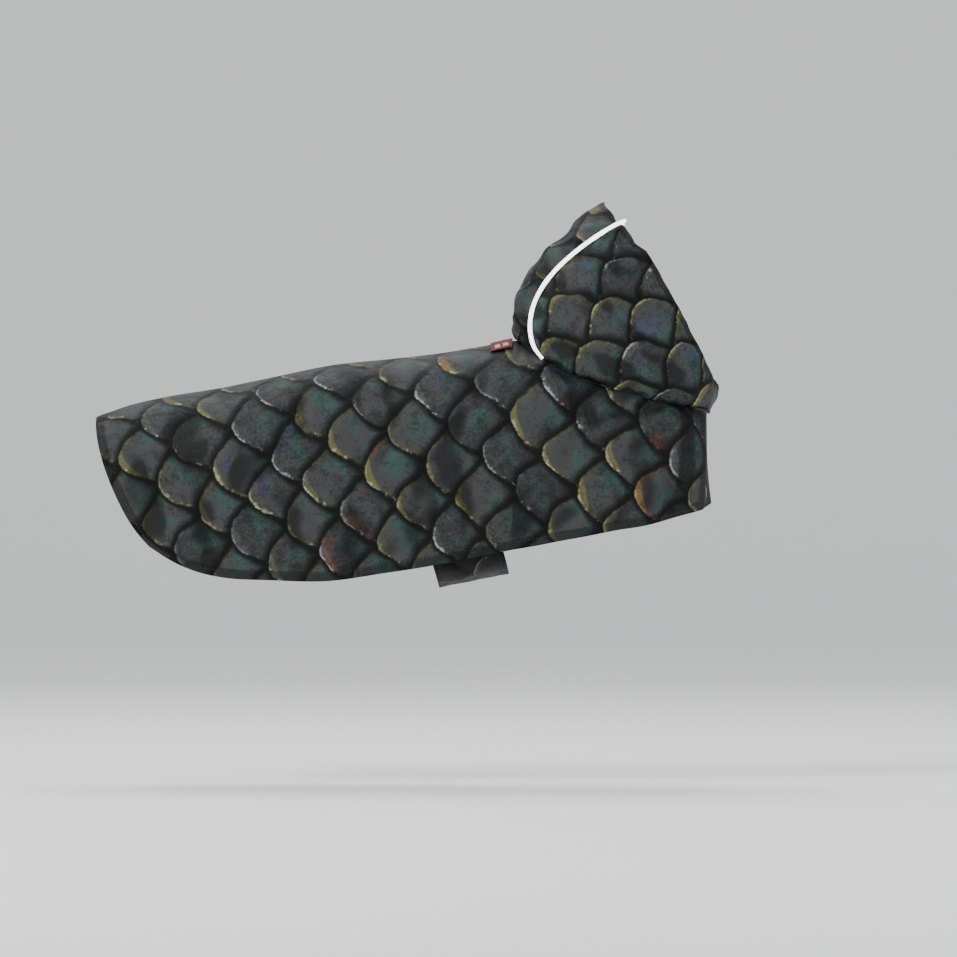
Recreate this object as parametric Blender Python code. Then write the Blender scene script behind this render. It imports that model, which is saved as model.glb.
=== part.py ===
"""Hooded pet raincoat, in the hollow form that it has when worn.

Frame: +X towards the head, +Y towards the wearer's left, +Z up. The origin is on the inside
of the back at the withers, where the wearer carries the coat. Tables are in millimetres and
give the outer face of the cloth. Blender's own units are metres.
"""

import math
from typing import NamedTuple

import bmesh
import bpy
import numpy as np

MM = 0.001
WALL = 1.6  # cloth with its lining and turned edges
SEAM_GAP = 0.5  # between two sewn pieces
PIPED_SEAM_GAP = 1.2  # the piping's flat tape lies in this seam
LAP_GAP = 0.6  # between two layers that lie on each other


# --------------------------------------------------------------------------- sizes


class Section(NamedTuple):
    """One cut through the right half of the body panel, from its top edge to its hem."""

    name: str
    top_x: float
    top_z: float
    side_y: float  # half-width at the widest level
    side_drop: float  # depth of that level below the top edge
    push_x: float  # how far the widest level stands forward
    hem_x: float
    hem_y: float
    hem_z: float
    curl: float  # 1 where the section follows the round rear hem, 0 where it is straight


BACK_SECTIONS = [
    Section("rear_edge", -324.2, -58.8, 50.0, 49.0, 0, -277.2, 50.5, -168.0, 1.0),
    Section("tail", -300.0, -49.5, 55.0, 54.0, 0, -261.0, 54.5, -178.3, 1.0),
    Section("rump", -265.0, -41.3, 60.0, 58.0, 0, -240.0, 59.0, -187.8, 1.0),
    Section("hip", -222.0, -34.3, 63.0, 61.0, 0, -213.0, 61.0, -193.9, 0.9),
    Section("flank", -178.0, -25.3, 63.5, 62.0, 0, -176.0, 60.5, -195.8, 0.7),
    Section("loin", -125.0, -14.5, 62.5, 63.0, 0, -128.0, 58.5, -196.6, 0.4),
    Section("waist", -75.0, -9.2, 63.5, 65.0, 0, -82.0, 56.5, -190.2, 0.2),
    Section("ribs", -30.0, -3.9, 65.5, 67.0, 0, -34.0, 55.0, -182.5, 0.0),
    Section("withers", 3.0, 1.6, 67.0, 68.0, 0, 0.0, 54.8, -175.5, 0.0),
]
NAPE = Section("nape", 33.0, 6.6, 68.2, 64.7, 0, 27.0, 55.1, -170.4, 0.0)


class NeckSection(NamedTuple):
    """A cut that starts on the neck seam, at an angle round the neck from nape to throat."""

    angle: float  # degrees
    seam_z: float
    side_y: float
    side_drop: float
    push_x: float
    hem_x: float
    hem_y: float
    hem_z: float


NECK_SECTIONS = [
    NeckSection(22.5, 2.2, 68.8, 58.2, 0.0, 45.5, 56.3, -167.2),
    NeckSection(45.0, -8.2, 69.3, 47.4, 0.0, 66.5, 57.0, -163.1),
    NeckSection(67.5, -22.1, 69.0, 36.0, 0.0, 90.0, 56.3, -158.7),
    NeckSection(90.0, -35.3, 67.3, 29.2, 0.5, 115.0, 54.0, -153.9),
    NeckSection(112.5, -44.7, 61.2, 26.6, 2.0, 142.0, 48.8, -149.3),
    NeckSection(135.0, -50.3, 47.8, 25.8, 4.0, 166.5, 38.5, -142.5),
    NeckSection(157.5, -53.7, 27.0, 25.0, 2.0, 188.5, 23.0, -136.5),
    NeckSection(180.0, -54.6, 0.0, 25.0, -1.5, 198.0, 0.0, -131.0),
]

# The neck seam and the hood's face opening are both rounded ovals of this squareness.
OVAL_POWER = 2.3
NECK_MIDDLE_X = 113.6
NECK_HALF_LENGTH = 80.6
NECK_HALF_WIDTH = 58.0

# How steeply the shoulders leave the neck seam: 1 follows the back, and the chest is flatter.
SHOULDER_TURN = 1.0
CHEST_TURN = 0.85

# The front edges lap: the right one ends short of the middle, the left one goes under it.
RIGHT_EDGE_ANGLE = 157.5
LEFT_EDGE_ANGLE = 225.0
LAP_START_ANGLE = 138.0

# The hood's face opening, from its peak to the throat, and how far its sides stand forward.
PEAK_X, PEAK_Z = 105.0, 122.6
THROAT_X, THROAT_Z = 199.9, -31.1
OPENING_HALF_WIDTH = 54.0
OPENING_BOW = 7.0


class HoodFullness(NamedTuple):
    """How far the hood stands out between the neck seam and the face opening."""

    angle: float  # degrees round the neck
    out_x: float
    out_y: float
    out_z: float
    skew: float  # under 1 moves the fullest place down towards the seam


HOOD_FULLNESS = [
    HoodFullness(0.0, -19.0, 0.0, 11.8, 0.68),
    HoodFullness(45.0, -25.8, 3.5, 15.0, 0.68),
    HoodFullness(70.0, -16.0, 6.5, 9.0, 0.66),
    HoodFullness(95.0, -6.0, 7.5, 3.0, 0.62),
    HoodFullness(125.0, 0.5, 7.5, -1.0, 0.70),
    HoodFullness(150.0, 2.5, 4.5, -1.0, 1.00),
    HoodFullness(180.0, 3.0, 0.0, 0.0, 1.40),
]
HOOD_FULL_POWER = 0.85  # under 1 rounds the hood more, close to its seam and its opening

GUSSET_ANGLE = 45.0  # the piped seams lie at this angle to each side of the nape
PIPING_RADIUS = 1.8
PIPING_LIFT = 0.5  # it lies on both edges of its seam
PIPING_TIP = 4.0  # length that stands past the face opening

STRAP_WIDTH = 60.0
STRAP_FRONT_X = 22.0
STRAP_UNDER_HEM = 38.3  # length of each end that lies inside the side of the coat
STRAP_DROP = 19.5  # depth of the belly below the hem
STRAP_FLAT_POWER = 0.8  # under 1 gives a flatter belly
STRAP_FALL_POWER = 1.1  # over 1 gives rounder sides
STRAP_SLANT = 6.0  # the strap hangs square to the sloping hem
SIDE_LENGTH = 214.0  # cloth from the back's ridge to the hem, near the strap

LABEL_LENGTH = 64.0  # across the back
LABEL_WIDTH = 17.0
LABEL_THICKNESS = 0.9
LABEL_FRONT_X = 26.0


class Crease(NamedTuple):
    """A soft trough, or a ridge if its depth is positive, on each side of the body."""

    name: str
    start_x: float
    start_z: float
    end_x: float
    end_z: float
    width: float
    depth: float


CREASES = [
    Crease("under_hood", 58.0, -26.0, 138.0, -62.0, 9.0, -2.4),
    Crease("shoulder", 34.0, -22.0, 8.0, -118.0, 13.0, -2.0),
    Crease("chest", 150.0, -66.0, 160.0, -128.0, 11.0, -2.2),
    Crease("ribs", -62.0, -60.0, -30.0, -158.0, 17.0, -1.8),
    Crease("flank", -152.0, -92.0, -132.0, -196.0, 18.0, -3.0),
    Crease("hip", -214.0, -88.0, -196.0, -194.0, 20.0, 2.8),
    Crease("rump", -282.0, -92.0, -252.0, -172.0, 16.0, -2.6),
]

CREASE_RISE = 10.0  # a crease fades out over this distance from the top edge

# How the side falls: powers over 1 keep the bend for the lower part of the panel.
HEM_DRAWN_IN_POWER = 1.6
REAR_ROUND_POWER = 1.6
REAR_TIP_POWER = 8
REAR_TIP_SHARE = 0.14

# The meshes' steps. Body and hood share the angle step, so that the neck seam's edges match.
ROWS_PER_SECTION = 2
BODY_COLUMNS = 13
HOOD_ROWS = 12
HOOD_ROW_POWER = 1.25  # over 1 puts more rows near the neck seam
ANGLE_STEP = 7.5
PIPING_STEPS = 22
CORD_SIDES = 8
STRAP_ROWS = 4
STRAP_END_STEPS = 4
STRAP_BEND_STEPS = 8
LABEL_ROWS = 3
LABEL_HALF_COLUMNS = 8

# Small steps at which the surfaces are read for their slopes.
PLACE_PROBE = 0.5
SHARE_PROBE = 0.01
ANGLE_PROBE = 0.01


# --------------------------------------------------------------------------- curves


def oval(angle, half_length, half_width):
    """Distance along and across from an oval's middle, 0 at the nape and pi at the throat."""
    along, across = -math.cos(angle), math.sin(angle)
    power = 2 / OVAL_POWER
    return (
        math.copysign(abs(along) ** power, along) * half_length,
        math.copysign(abs(across) ** power, across) * half_width,
    )


def slopes(places, values):
    """The slope of a smooth curve at each of its points."""
    steps = np.diff(places)
    rises = np.diff(values) / steps
    inner = (rises[:-1] * steps[1:] + rises[1:] * steps[:-1]) / (steps[:-1] + steps[1:])
    return np.concatenate([[rises[0]], inner, [rises[-1]]])


def smooth(place, places, values):
    """A smooth curve through the points, read at one place."""
    i = int(np.clip(np.searchsorted(places, place) - 1, 0, len(places) - 2))
    width = places[i + 1] - places[i]
    t = (place - places[i]) / width
    slope = slopes(places, values)
    rise = values[i + 1] - values[i]
    a = slope[i] * width - rise
    b = rise - slope[i + 1] * width
    return values[i] + rise * t + t * (1 - t) * (a * (1 - t) + b * t)


def ease(t):
    """0 to 1 with flat ends."""
    t = min(max(t, 0.0), 1.0)
    return t * t * (3 - 2 * t)


def crease_depth(x, z):
    """How far the creases move the side of the coat outwards at one place."""
    moved = 0.0
    for c in CREASES:
        start, end = np.array([c.start_x, c.start_z]), np.array([c.end_x, c.end_z])
        line = end - start
        along = float(np.dot([x - start[0], z - start[1]], line) / np.dot(line, line))
        nearest = start + line * min(max(along, 0.0), 1.0)
        distance = math.hypot(x - nearest[0], z - nearest[1])
        moved += c.depth * math.exp(-((distance / c.width) ** 2)) * ease(1.2 - abs(2 * along - 1))
    return moved


# --------------------------------------------------------------------------- body surface


def neck_seam(angle):
    """A point of the neck seam on the right side; a negative angle is on the left."""
    along, across = oval(angle, NECK_HALF_LENGTH, NECK_HALF_WIDTH)
    angles = [0.0] + [math.radians(s.angle) for s in NECK_SECTIONS]
    heights = [NAPE.top_z] + [s.seam_z for s in NECK_SECTIONS]
    height = smooth(abs(angle), np.array(angles), np.array(heights))
    return np.array([NECK_MIDDLE_X + along, -across, height])


def section_table():
    """Every section's numbers as rows: place along the panel, then the named sizes."""
    rows = []
    for s in [*BACK_SECTIONS, NAPE]:
        rows.append([0, s.top_x, s.top_z, *s[3:10]])
    for s in NECK_SECTIONS:
        seam = neck_seam(math.radians(s.angle))
        rows.append([s.angle, seam[0], seam[2], *s[2:8], 0.0])
    table = np.array(rows)
    side = np.stack([(table[:, 1] + table[:, 6]) / 2 + table[:, 5], table[:, 3]], axis=1)
    steps = np.linalg.norm(np.diff(side, axis=0), axis=1)
    return np.concatenate([[0], np.cumsum(steps)]), table


PLACES, TABLE = section_table()
NAPE_PLACE = PLACES[len(BACK_SECTIONS)]
NECK_PLACES = PLACES[len(BACK_SECTIONS) :]
NECK_ANGLES = np.radians(TABLE[len(BACK_SECTIONS) :, 0])
TOP_X, HEM_X = TABLE[:, 1], TABLE[:, 6]


def place_of(angle):
    """Where along the panel the section at an angle round the neck lies."""
    return float(np.interp(angle, NECK_ANGLES, NECK_PLACES))


def body_point(place, across):
    """A point of the body's outer face, right side; across is 0 at the top edge, 1 at the hem."""
    values = [smooth(place, PLACES, TABLE[:, k]) for k in range(1, TABLE.shape[1])]
    top_x, top_z, side_y, drop, push, hem_x, hem_y, hem_z, curl = values
    top_y, shoulder = 0.0, SHOULDER_TURN
    if place > NAPE_PLACE:
        angle = float(np.interp(place, NECK_PLACES, NECK_ANGLES))
        top_x, top_y, top_z = neck_seam(angle)
        top_y = abs(top_y)
        shoulder += (CHEST_TURN - SHOULDER_TURN) * ease(angle / (math.pi / 2))
    side_z = top_z - drop
    round_length = drop * math.pi / 2
    round_share = round_length / (round_length + side_z - hem_z)
    first_turn = shoulder * math.asin(min(top_y / max(side_y, 1.0), 1.0))
    turn = first_turn + (math.pi / 2 - first_turn) * min(across / round_share, 1.0)
    down = max(across - round_share, 0.0) / (1 - round_share)
    swell = (math.sin(turn) - math.sin(first_turn)) / (1 - math.sin(first_turn))
    fall = 1 - math.cos(turn) / math.cos(first_turn)
    y = top_y + (side_y - top_y) * swell - (side_y - hem_y) * down**HEM_DRAWN_IN_POWER
    z = top_z - drop * fall - (side_z - hem_z) * down
    depth = (top_z - z) / (top_z - hem_z)
    rounded = (1 - REAR_TIP_SHARE) * depth**REAR_ROUND_POWER + REAR_TIP_SHARE * depth**REAR_TIP_POWER
    x = top_x + (hem_x - top_x) * (curl * rounded + (1 - curl) * depth)
    x += push * math.sin(math.pi * depth)
    if y > top_y:
        y += crease_depth(x, z) * min((y - top_y) / CREASE_RISE, 1.0)
    return np.array([x, -y, z])


def body_normal(place, across):
    """The direction out of the body's outer face, right side."""
    along = body_point(place + PLACE_PROBE, across) - body_point(place - PLACE_PROBE, across)
    down_from, down_to = max(across - SHARE_PROBE, 0.0), min(across + SHARE_PROBE, 1.0)
    down = body_point(place, down_to) - body_point(place, down_from)
    normal = np.cross(down, along)
    return normal / np.linalg.norm(normal)


def on_the_left(point):
    return point * np.array([1, -1, 1])


def left_body_point(place, across):
    """The same on the left side, where the front edge goes on past the middle, under the right."""
    end = PLACES[-1]
    mirrored = place <= end
    reach = place if mirrored else 2 * end - place
    reach = min(max(reach, 0.0), end - 0.6)
    start = place_of(math.radians(LAP_START_ANGLE))
    depth = (WALL + LAP_GAP) * ease((place - start) / (end - start) * 1.5)
    point = body_point(reach, across)
    if depth > 0:
        point = point - depth * body_normal(reach, across)
    return on_the_left(point) if mirrored else point


# --------------------------------------------------------------------------- hood surface


def face_opening(angle):
    """A point of the hood's face opening on the right side."""
    half = np.array([THROAT_X - PEAK_X, 0, THROAT_Z - PEAK_Z]) / 2
    along, across = oval(angle, 1.0, OPENING_HALF_WIDTH)
    middle = np.array([(THROAT_X + PEAK_X) / 2, 0, (THROAT_Z + PEAK_Z) / 2])
    forward = np.array([-half[2], 0, half[0]]) / np.linalg.norm(half)
    bow = OPENING_BOW * abs(math.sin(angle)) ** 3
    return middle + along * half + np.array([0, -across, 0]) + bow * forward


def hood_point(angle, up):
    """A point of the hood's outer face; up is 0 at the neck seam and 1 at the face opening."""
    angles = np.radians([f.angle for f in HOOD_FULLNESS])
    out = [smooth(abs(angle), angles, np.array([f[k] for f in HOOD_FULLNESS])) for k in (1, 2, 3, 4)]
    full = max(math.sin(math.pi * up ** out[3]), 0.0) ** HOOD_FULL_POWER
    side = math.copysign(1, angle) if angle else 0
    start, end = neck_seam(angle), face_opening(angle)
    return start + (end - start) * up + full * np.array([out[0], -side * out[1], out[2]])


def hood_normal(angle, up):
    """The direction out of the hood's outer face."""
    low, high = max(up - SHARE_PROBE, 0.0), min(up + SHARE_PROBE, 1.0)
    rise = hood_point(angle, high) - hood_point(angle, low)
    turn = hood_point(angle + ANGLE_PROBE, up) - hood_point(angle - ANGLE_PROBE, up)
    normal = np.cross(turn, rise)
    return normal / np.linalg.norm(normal)


# --------------------------------------------------------------------------- Blender objects


def material(name, colour, roughness):
    made = bpy.data.materials.new(name)
    made.use_nodes = True
    shader = made.node_tree.nodes["Principled BSDF"]
    shader.inputs["Base Color"].default_value = (*colour, 1)
    shader.inputs["Roughness"].default_value = roughness
    shader.inputs["Metallic"].default_value = 0.0
    return made


def add_object(name, mesh, finish):
    made = bpy.data.objects.new(name, mesh)
    made.data.materials.append(finish)
    bpy.context.scene.collection.objects.link(made)
    mesh.shade_smooth()
    mesh.set_sharp_from_angle(angle=math.radians(50))
    return made


def thicken(sheet, wall):
    """Gives a sheet its wall, inwards from its outer face."""
    made = sheet.modifiers.new("wall", "SOLIDIFY")
    made.thickness = wall * MM
    made.offset = -1
    made.use_rim = True
    return sheet


def sheet_mesh(name, points, faces):
    mesh = bpy.data.meshes.new(name)
    shape = bmesh.new()
    corners = [shape.verts.new(p * MM) for p in points]
    for face in faces:
        shape.faces.new([corners[i] for i in face])
    shape.to_mesh(mesh)
    shape.free()
    return mesh


def grid_faces(rows, columns, index, flip):
    """Quads between neighbouring points; index gives a point's number."""
    faces = []
    for i in range(rows - 1):
        for j in range(columns - 1):
            quad = [index(i, j), index(i + 1, j), index(i + 1, j + 1), index(i, j + 1)]
            faces.append(quad[::-1] if flip else quad)
    return faces


def grid_object(name, grid, wall, finish, flip=False):
    """A sheet from rows of points, with its wall."""
    rows, columns = len(grid), len(grid[0])
    points = [p for row in grid for p in row]
    faces = grid_faces(rows, columns, lambda i, j: i * columns + j, flip)
    return thicken(add_object(name, sheet_mesh(name, points, faces), finish), wall)


def tube_object(name, path, outwards, radius, sides, finish):
    """A round cord along a path, with closed ends."""
    rings = []
    for k, centre in enumerate(path):
        along = path[min(k + 1, len(path) - 1)] - path[max(k - 1, 0)]
        along = along / np.linalg.norm(along)
        out = outwards[k] - along * float(np.dot(outwards[k], along))
        out = out / np.linalg.norm(out)
        beside = np.cross(along, out)
        turns = [2 * math.pi * n / sides for n in range(sides)]
        rings.append([centre + radius * (out * math.cos(t) + beside * math.sin(t)) for t in turns])
    points = [p for ring in rings for p in ring]
    faces = []
    for k in range(len(rings) - 1):
        for n in range(sides):
            m = (n + 1) % sides
            faces.append([k * sides + n, k * sides + m, (k + 1) * sides + m, (k + 1) * sides + n])
    faces.append(list(range(sides))[::-1])
    faces.append([(len(rings) - 1) * sides + n for n in range(sides)])
    return add_object(name, sheet_mesh(name, points, faces), finish)


# --------------------------------------------------------------------------- pieces


def back_places():
    """Places of the mesh's rows from the rear edge to the nape."""
    marks = PLACES[: len(BACK_SECTIONS) + 1]
    steps = np.linspace(0, len(marks) - 1, (len(marks) - 1) * ROWS_PER_SECTION + 1)
    return [float(np.interp(s, range(len(marks)), marks)) for s in steps]


def neck_places(last_angle):
    """Places of the mesh's rows from just past the nape to a front edge."""
    end, places = PLACES[-1], []
    for k in range(1, round(last_angle / ANGLE_STEP) + 1):
        angle = math.radians(k * ANGLE_STEP)
        past = angle > math.pi
        place = place_of(2 * math.pi - angle if past else angle)
        places.append(2 * end - place if past else place)
    return places


def make_body(finish):
    """Back and both sides, cut as one piece, with the front edges lapped on the chest."""
    shares = [j / (BODY_COLUMNS - 1) for j in range(BODY_COLUMNS)]
    back = back_places()
    right = back + neck_places(RIGHT_EDGE_ANGLE)
    left = back + neck_places(LEFT_EDGE_ANGLE)
    points, right_index, left_index = [], {}, {}
    for i, place in enumerate(right):
        for j, share in enumerate(shares):
            right_index[i, j] = len(points)
            points.append(body_point(place, share))
    for i, place in enumerate(left):
        for j, share in enumerate(shares):
            if j == 0 and i < len(back):
                left_index[i, j] = right_index[i, j]
                continue
            left_index[i, j] = len(points)
            points.append(left_body_point(place, share))
    faces = grid_faces(len(right), BODY_COLUMNS, lambda i, j: right_index[i, j], True)
    faces += grid_faces(len(left), BODY_COLUMNS, lambda i, j: left_index[i, j], False)
    return thicken(add_object("body", sheet_mesh("body", points, faces), finish), WALL)


def hood_grid(first_angle, last_angle):
    """Rows of hood points between two angles, from just above the neck seam to the opening."""
    columns = round(math.degrees(last_angle - first_angle) / ANGLE_STEP)
    grid = []
    for i in range(HOOD_ROWS + 1):
        row = []
        for j in range(columns + 1):
            angle = first_angle + (last_angle - first_angle) * j / columns
            up = (i / HOOD_ROWS) ** HOOD_ROW_POWER
            point = hood_point(angle, up)
            if i == 0:
                rise = hood_point(angle, SHARE_PROBE) - point
                point = point + rise / np.linalg.norm(rise) * SEAM_GAP
            row.append(point)
        grid.append(row)
    return grid


def angle_for(distance, angle, up):
    """The angle that spans a distance along the hood at a place."""
    length = np.linalg.norm(hood_point(angle + ANGLE_PROBE, up) - hood_point(angle, up))
    return distance * ANGLE_PROBE / float(length)


def make_hood(finish):
    """Two side panels and a gusset over the crown and down the nape."""
    seam = math.radians(GUSSET_ANGLE)
    half_gap = angle_for(PIPED_SEAM_GAP / 2, seam, 0.5)
    throat_gap = angle_for(SEAM_GAP / 2, math.pi - 0.02, 0.5)
    gusset = hood_grid(-seam + half_gap, seam - half_gap)
    grid_object("hood_gusset", gusset, WALL, finish, flip=True)
    right = hood_grid(seam + half_gap, math.pi - throat_gap)
    grid_object("hood_side_right", right, WALL, finish, flip=True)
    left = [[on_the_left(p) for p in row] for row in right]
    grid_object("hood_side_left", left, WALL, finish)


def make_piping(finish):
    """A round reflective cord along each seam between gusset and side panel."""
    angle = math.radians(GUSSET_ANGLE)
    ups = np.linspace(2 * SHARE_PROBE, 1, PIPING_STEPS + 1)
    lift = PIPING_RADIUS + PIPING_LIFT
    outwards = [hood_normal(angle, up) for up in ups]
    path = [hood_point(angle, up) + lift * out for up, out in zip(ups, outwards)]
    last = path[-1] - path[-2]
    path.append(path[-1] + last / np.linalg.norm(last) * PIPING_TIP)
    outwards.append(outwards[-1])
    tube_object("hood_piping_right", path, outwards, PIPING_RADIUS, CORD_SIDES, finish)
    path = [on_the_left(p) for p in path]
    outwards = [on_the_left(p) for p in outwards]
    tube_object("hood_piping_left", path, outwards, PIPING_RADIUS, CORD_SIDES, finish)


def strap_line(front_x):
    """The strap's outer edge line at one x, from inside the right hem under to the left hem."""
    place = float(np.interp(front_x, HEM_X, PLACES))
    inset = WALL + LAP_GAP
    line = []
    for k in range(STRAP_END_STEPS + 1):
        share = 1.0 - STRAP_UNDER_HEM / SIDE_LENGTH * (1 - k / STRAP_END_STEPS)
        line.append(body_point(place, share) - inset * body_normal(place, share))
    start = line[-1]
    for k in range(1, STRAP_BEND_STEPS + 1):
        turn = math.pi / 2 * k / STRAP_BEND_STEPS
        x = start[0] + STRAP_SLANT * math.sin(turn)
        y = start[1] * math.cos(turn) ** STRAP_FLAT_POWER
        line.append(np.array([x, y, start[2] - STRAP_DROP * math.sin(turn) ** STRAP_FALL_POWER]))
    return line


def make_strap(finish):
    """The belly strap, sewn inside one hem, passed under the belly and closed inside the other."""
    grid = []
    for n in range(STRAP_ROWS + 1):
        half = strap_line(STRAP_FRONT_X - STRAP_WIDTH * (1 - n / STRAP_ROWS))
        grid.append(half + [on_the_left(p) for p in half[-2::-1]])
    return grid_object("belly_strap", grid, WALL, finish, flip=True)


def make_label(finish):
    """A small plain label that lies across the back, just behind the hood."""
    grid = []
    lift = LABEL_THICKNESS + PIPING_LIFT
    for n in range(LABEL_ROWS + 1):
        x = LABEL_FRONT_X - LABEL_WIDTH * (1 - n / LABEL_ROWS)
        place = float(np.interp(x, TOP_X, PLACES))
        row = []
        for k in range(-LABEL_HALF_COLUMNS, LABEL_HALF_COLUMNS + 1):
            side = LABEL_LENGTH / 2 * k / LABEL_HALF_COLUMNS
            share = abs(side) / SIDE_LENGTH
            point = body_point(place, share) + lift * body_normal(place, share)
            row.append(point if side <= 0 else on_the_left(point))
        grid.append(row)
    return grid_object("back_label", grid, LABEL_THICKNESS, finish)


def main():
    for old in list(bpy.data.objects):
        bpy.data.objects.remove(old)
    cloth = material("printed_cloth", (0.045, 0.055, 0.055), 0.5)
    reflective = material("reflective_piping", (0.85, 0.86, 0.87), 0.35)
    woven = material("label_cloth", (0.28, 0.03, 0.04), 0.7)
    make_body(cloth)
    make_hood(cloth)
    make_piping(reflective)
    make_strap(cloth)
    make_label(woven)


main()
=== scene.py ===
"""The look of a hooded pet raincoat, worn but hollow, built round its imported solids.

+X towards the head, +Y towards the wearer's left, +Z up. The origin is inside the back at the
withers. Tables and sizes are in millimetres and give the cloth's outer face. Meshes are in metres.
"""

import logging
import math
from dataclasses import dataclass
from enum import Enum
from typing import Iterable, NamedTuple, Sequence

import bpy
import numpy as np
from bpy.types import Material, Mesh, Node, NodeSocket, NodeTree, Object
from mathutils import Matrix, Vector
from mathutils.bvhtree import BVHTree
from mathutils.kdtree import KDTree


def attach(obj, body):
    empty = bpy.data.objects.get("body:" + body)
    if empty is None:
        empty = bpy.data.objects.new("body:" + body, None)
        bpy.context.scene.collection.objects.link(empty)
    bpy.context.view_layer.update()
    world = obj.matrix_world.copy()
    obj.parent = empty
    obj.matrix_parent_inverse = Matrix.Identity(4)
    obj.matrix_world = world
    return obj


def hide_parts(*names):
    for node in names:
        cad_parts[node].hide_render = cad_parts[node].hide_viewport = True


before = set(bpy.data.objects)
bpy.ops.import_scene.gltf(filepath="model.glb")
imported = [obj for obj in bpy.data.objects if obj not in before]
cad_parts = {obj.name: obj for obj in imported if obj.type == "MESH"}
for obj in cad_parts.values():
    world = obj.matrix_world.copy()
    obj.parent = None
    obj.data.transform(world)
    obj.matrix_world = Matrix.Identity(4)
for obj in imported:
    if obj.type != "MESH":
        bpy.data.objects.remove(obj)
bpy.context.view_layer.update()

MM = 0.001
LOG = logging.getLogger("raincoat")
PROBE = 0.5  # mm to both sides of a place, for the direction of a surface there
THROAT_MARGIN = 0.6  # mm that the last section stays from the middle of the throat

# ------------------------------------------------------------------ curves and small tools


def ease(share: np.ndarray) -> np.ndarray:
    """0 to 1 with flat ends."""
    share = np.clip(share, 0.0, 1.0)
    return share * share * (3 - 2 * share)


def between(value: np.ndarray, low: float, high: float) -> np.ndarray:
    """0 at low and 1 at high, eased."""
    return ease((value - low) / (high - low))


def unit(vectors: np.ndarray) -> np.ndarray:
    """The same directions with length 1, for rows of vectors."""
    return vectors / np.linalg.norm(vectors, axis=-1, keepdims=True)


def bell(distance: np.ndarray, width: float) -> np.ndarray:
    """1 at distance 0, and falling off smoothly over a width."""
    return np.exp(-((distance / width) ** 2))


def lengths_along(points: np.ndarray) -> np.ndarray:
    """Length along a row of points up to each of them."""
    return np.concatenate([[0], np.cumsum(np.linalg.norm(np.diff(points, axis=0), axis=1))])


def smooth_curve(at: np.ndarray, places: np.ndarray, values: np.ndarray) -> np.ndarray:
    """A smooth curve through points, read at several places.

    Args:
        at: places to read, shape (m,).
        places: rising places of the known points, shape (n,).
        values: one row of numbers for each known point, shape (n, k).

    Returns:
        One row for each place, shape (m, k).
    """
    steps = np.diff(places)
    rises = np.diff(values, axis=0) / steps[:, None]
    weights = (steps[:-1] + steps[1:])[:, None]
    inner = (rises[:-1] * steps[1:, None] + rises[1:] * steps[:-1, None]) / weights
    slope = np.concatenate([rises[:1], inner, rises[-1:]])
    i = np.clip(np.searchsorted(places, at) - 1, 0, len(places) - 2)
    width = steps[i][:, None]
    t = ((at - places[i]) / steps[i])[:, None]
    rise = values[i + 1] - values[i]
    a = slope[i] * width - rise
    b = rise - slope[i + 1] * width
    return values[i] + rise * t + t * (1 - t) * (a * (1 - t) + b * t)


def oval(angle: np.ndarray, power: float) -> tuple[np.ndarray, np.ndarray]:
    """How far along and across a unit oval a point at each angle lies, 0 at the nape.

    Args:
        angle: angles round the oval, pi at the throat.
        power: squareness, 2 for an ellipse.

    Returns:
        The two distances, each from -1 to 1.
    """
    along, across = -np.cos(angle), np.sin(angle)
    return (
        np.copysign(np.abs(along) ** (2 / power), along),
        np.copysign(np.abs(across) ** (2 / power), across),
    )


def spaced(length: float, coarse: float, fine: float, fine_start: float, fine_end: float) -> np.ndarray:
    """Shares of a length, closer together near its ends.

    Args:
        length: the whole length.
        coarse: step in the middle.
        fine: step near the ends.
        fine_start: length of the fine zone at the start.
        fine_end: length of the fine zone at the end.

    Returns:
        Rising shares from 0 to 1.
    """
    first = round(fine_start / fine)
    last = round(fine_end / fine)
    middle = round((length - fine_start - fine_end) / coarse)
    marks = np.concatenate([
        np.linspace(0, fine_start, first, endpoint=False),
        np.linspace(fine_start, length - fine_end, middle, endpoint=False),
        np.linspace(length - fine_end, length, last + 1),
    ])
    return marks / length


def grid_normals(grid: np.ndarray) -> np.ndarray:
    """Unit normals of a grid of points, by the right hand from columns to rows.

    Args:
        grid: points, shape (rows, columns, 3).

    Returns:
        Normals of the same shape.
    """
    down = np.gradient(grid, axis=1)
    along = np.gradient(grid, axis=0)
    normals = np.cross(down, along)
    return normals / np.maximum(np.linalg.norm(normals, axis=2, keepdims=True), 1e-9)


def mirrored(points: np.ndarray) -> np.ndarray:
    """The same points on the other side."""
    return points * np.array([1.0, -1.0, 1.0])


class Ripple:
    """A smooth uneven surface made of a few dozen waves, always the same for one seed."""

    def __init__(self, seed: int, shortest: float, longest: float, waves: int = 24) -> None:
        """Chooses the waves.

        Args:
            seed: chooses the waves' directions and phases.
            shortest: shortest wave, mm.
            longest: longest wave, mm.
            waves: how many waves.
        """
        dice = np.random.default_rng(seed)
        lengths = shortest * (longest / shortest) ** dice.random(waves)
        turns = dice.random(waves) * math.pi
        self.ways = np.stack([np.cos(turns), np.sin(turns)], axis=1) * (math.tau / lengths)[:, None]
        self.phases = dice.random(waves) * math.tau
        self.scale = 1 / math.sqrt(waves / 2)

    def at(self, first: np.ndarray, second: np.ndarray) -> np.ndarray:
        """Heights of about -1 to 1 at places given by two coordinates in mm."""
        total = np.zeros(np.shape(first))
        for way, phase in zip(self.ways, self.phases):
            total += np.sin(first * way[0] + second * way[1] + phase)
        return total * self.scale


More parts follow.
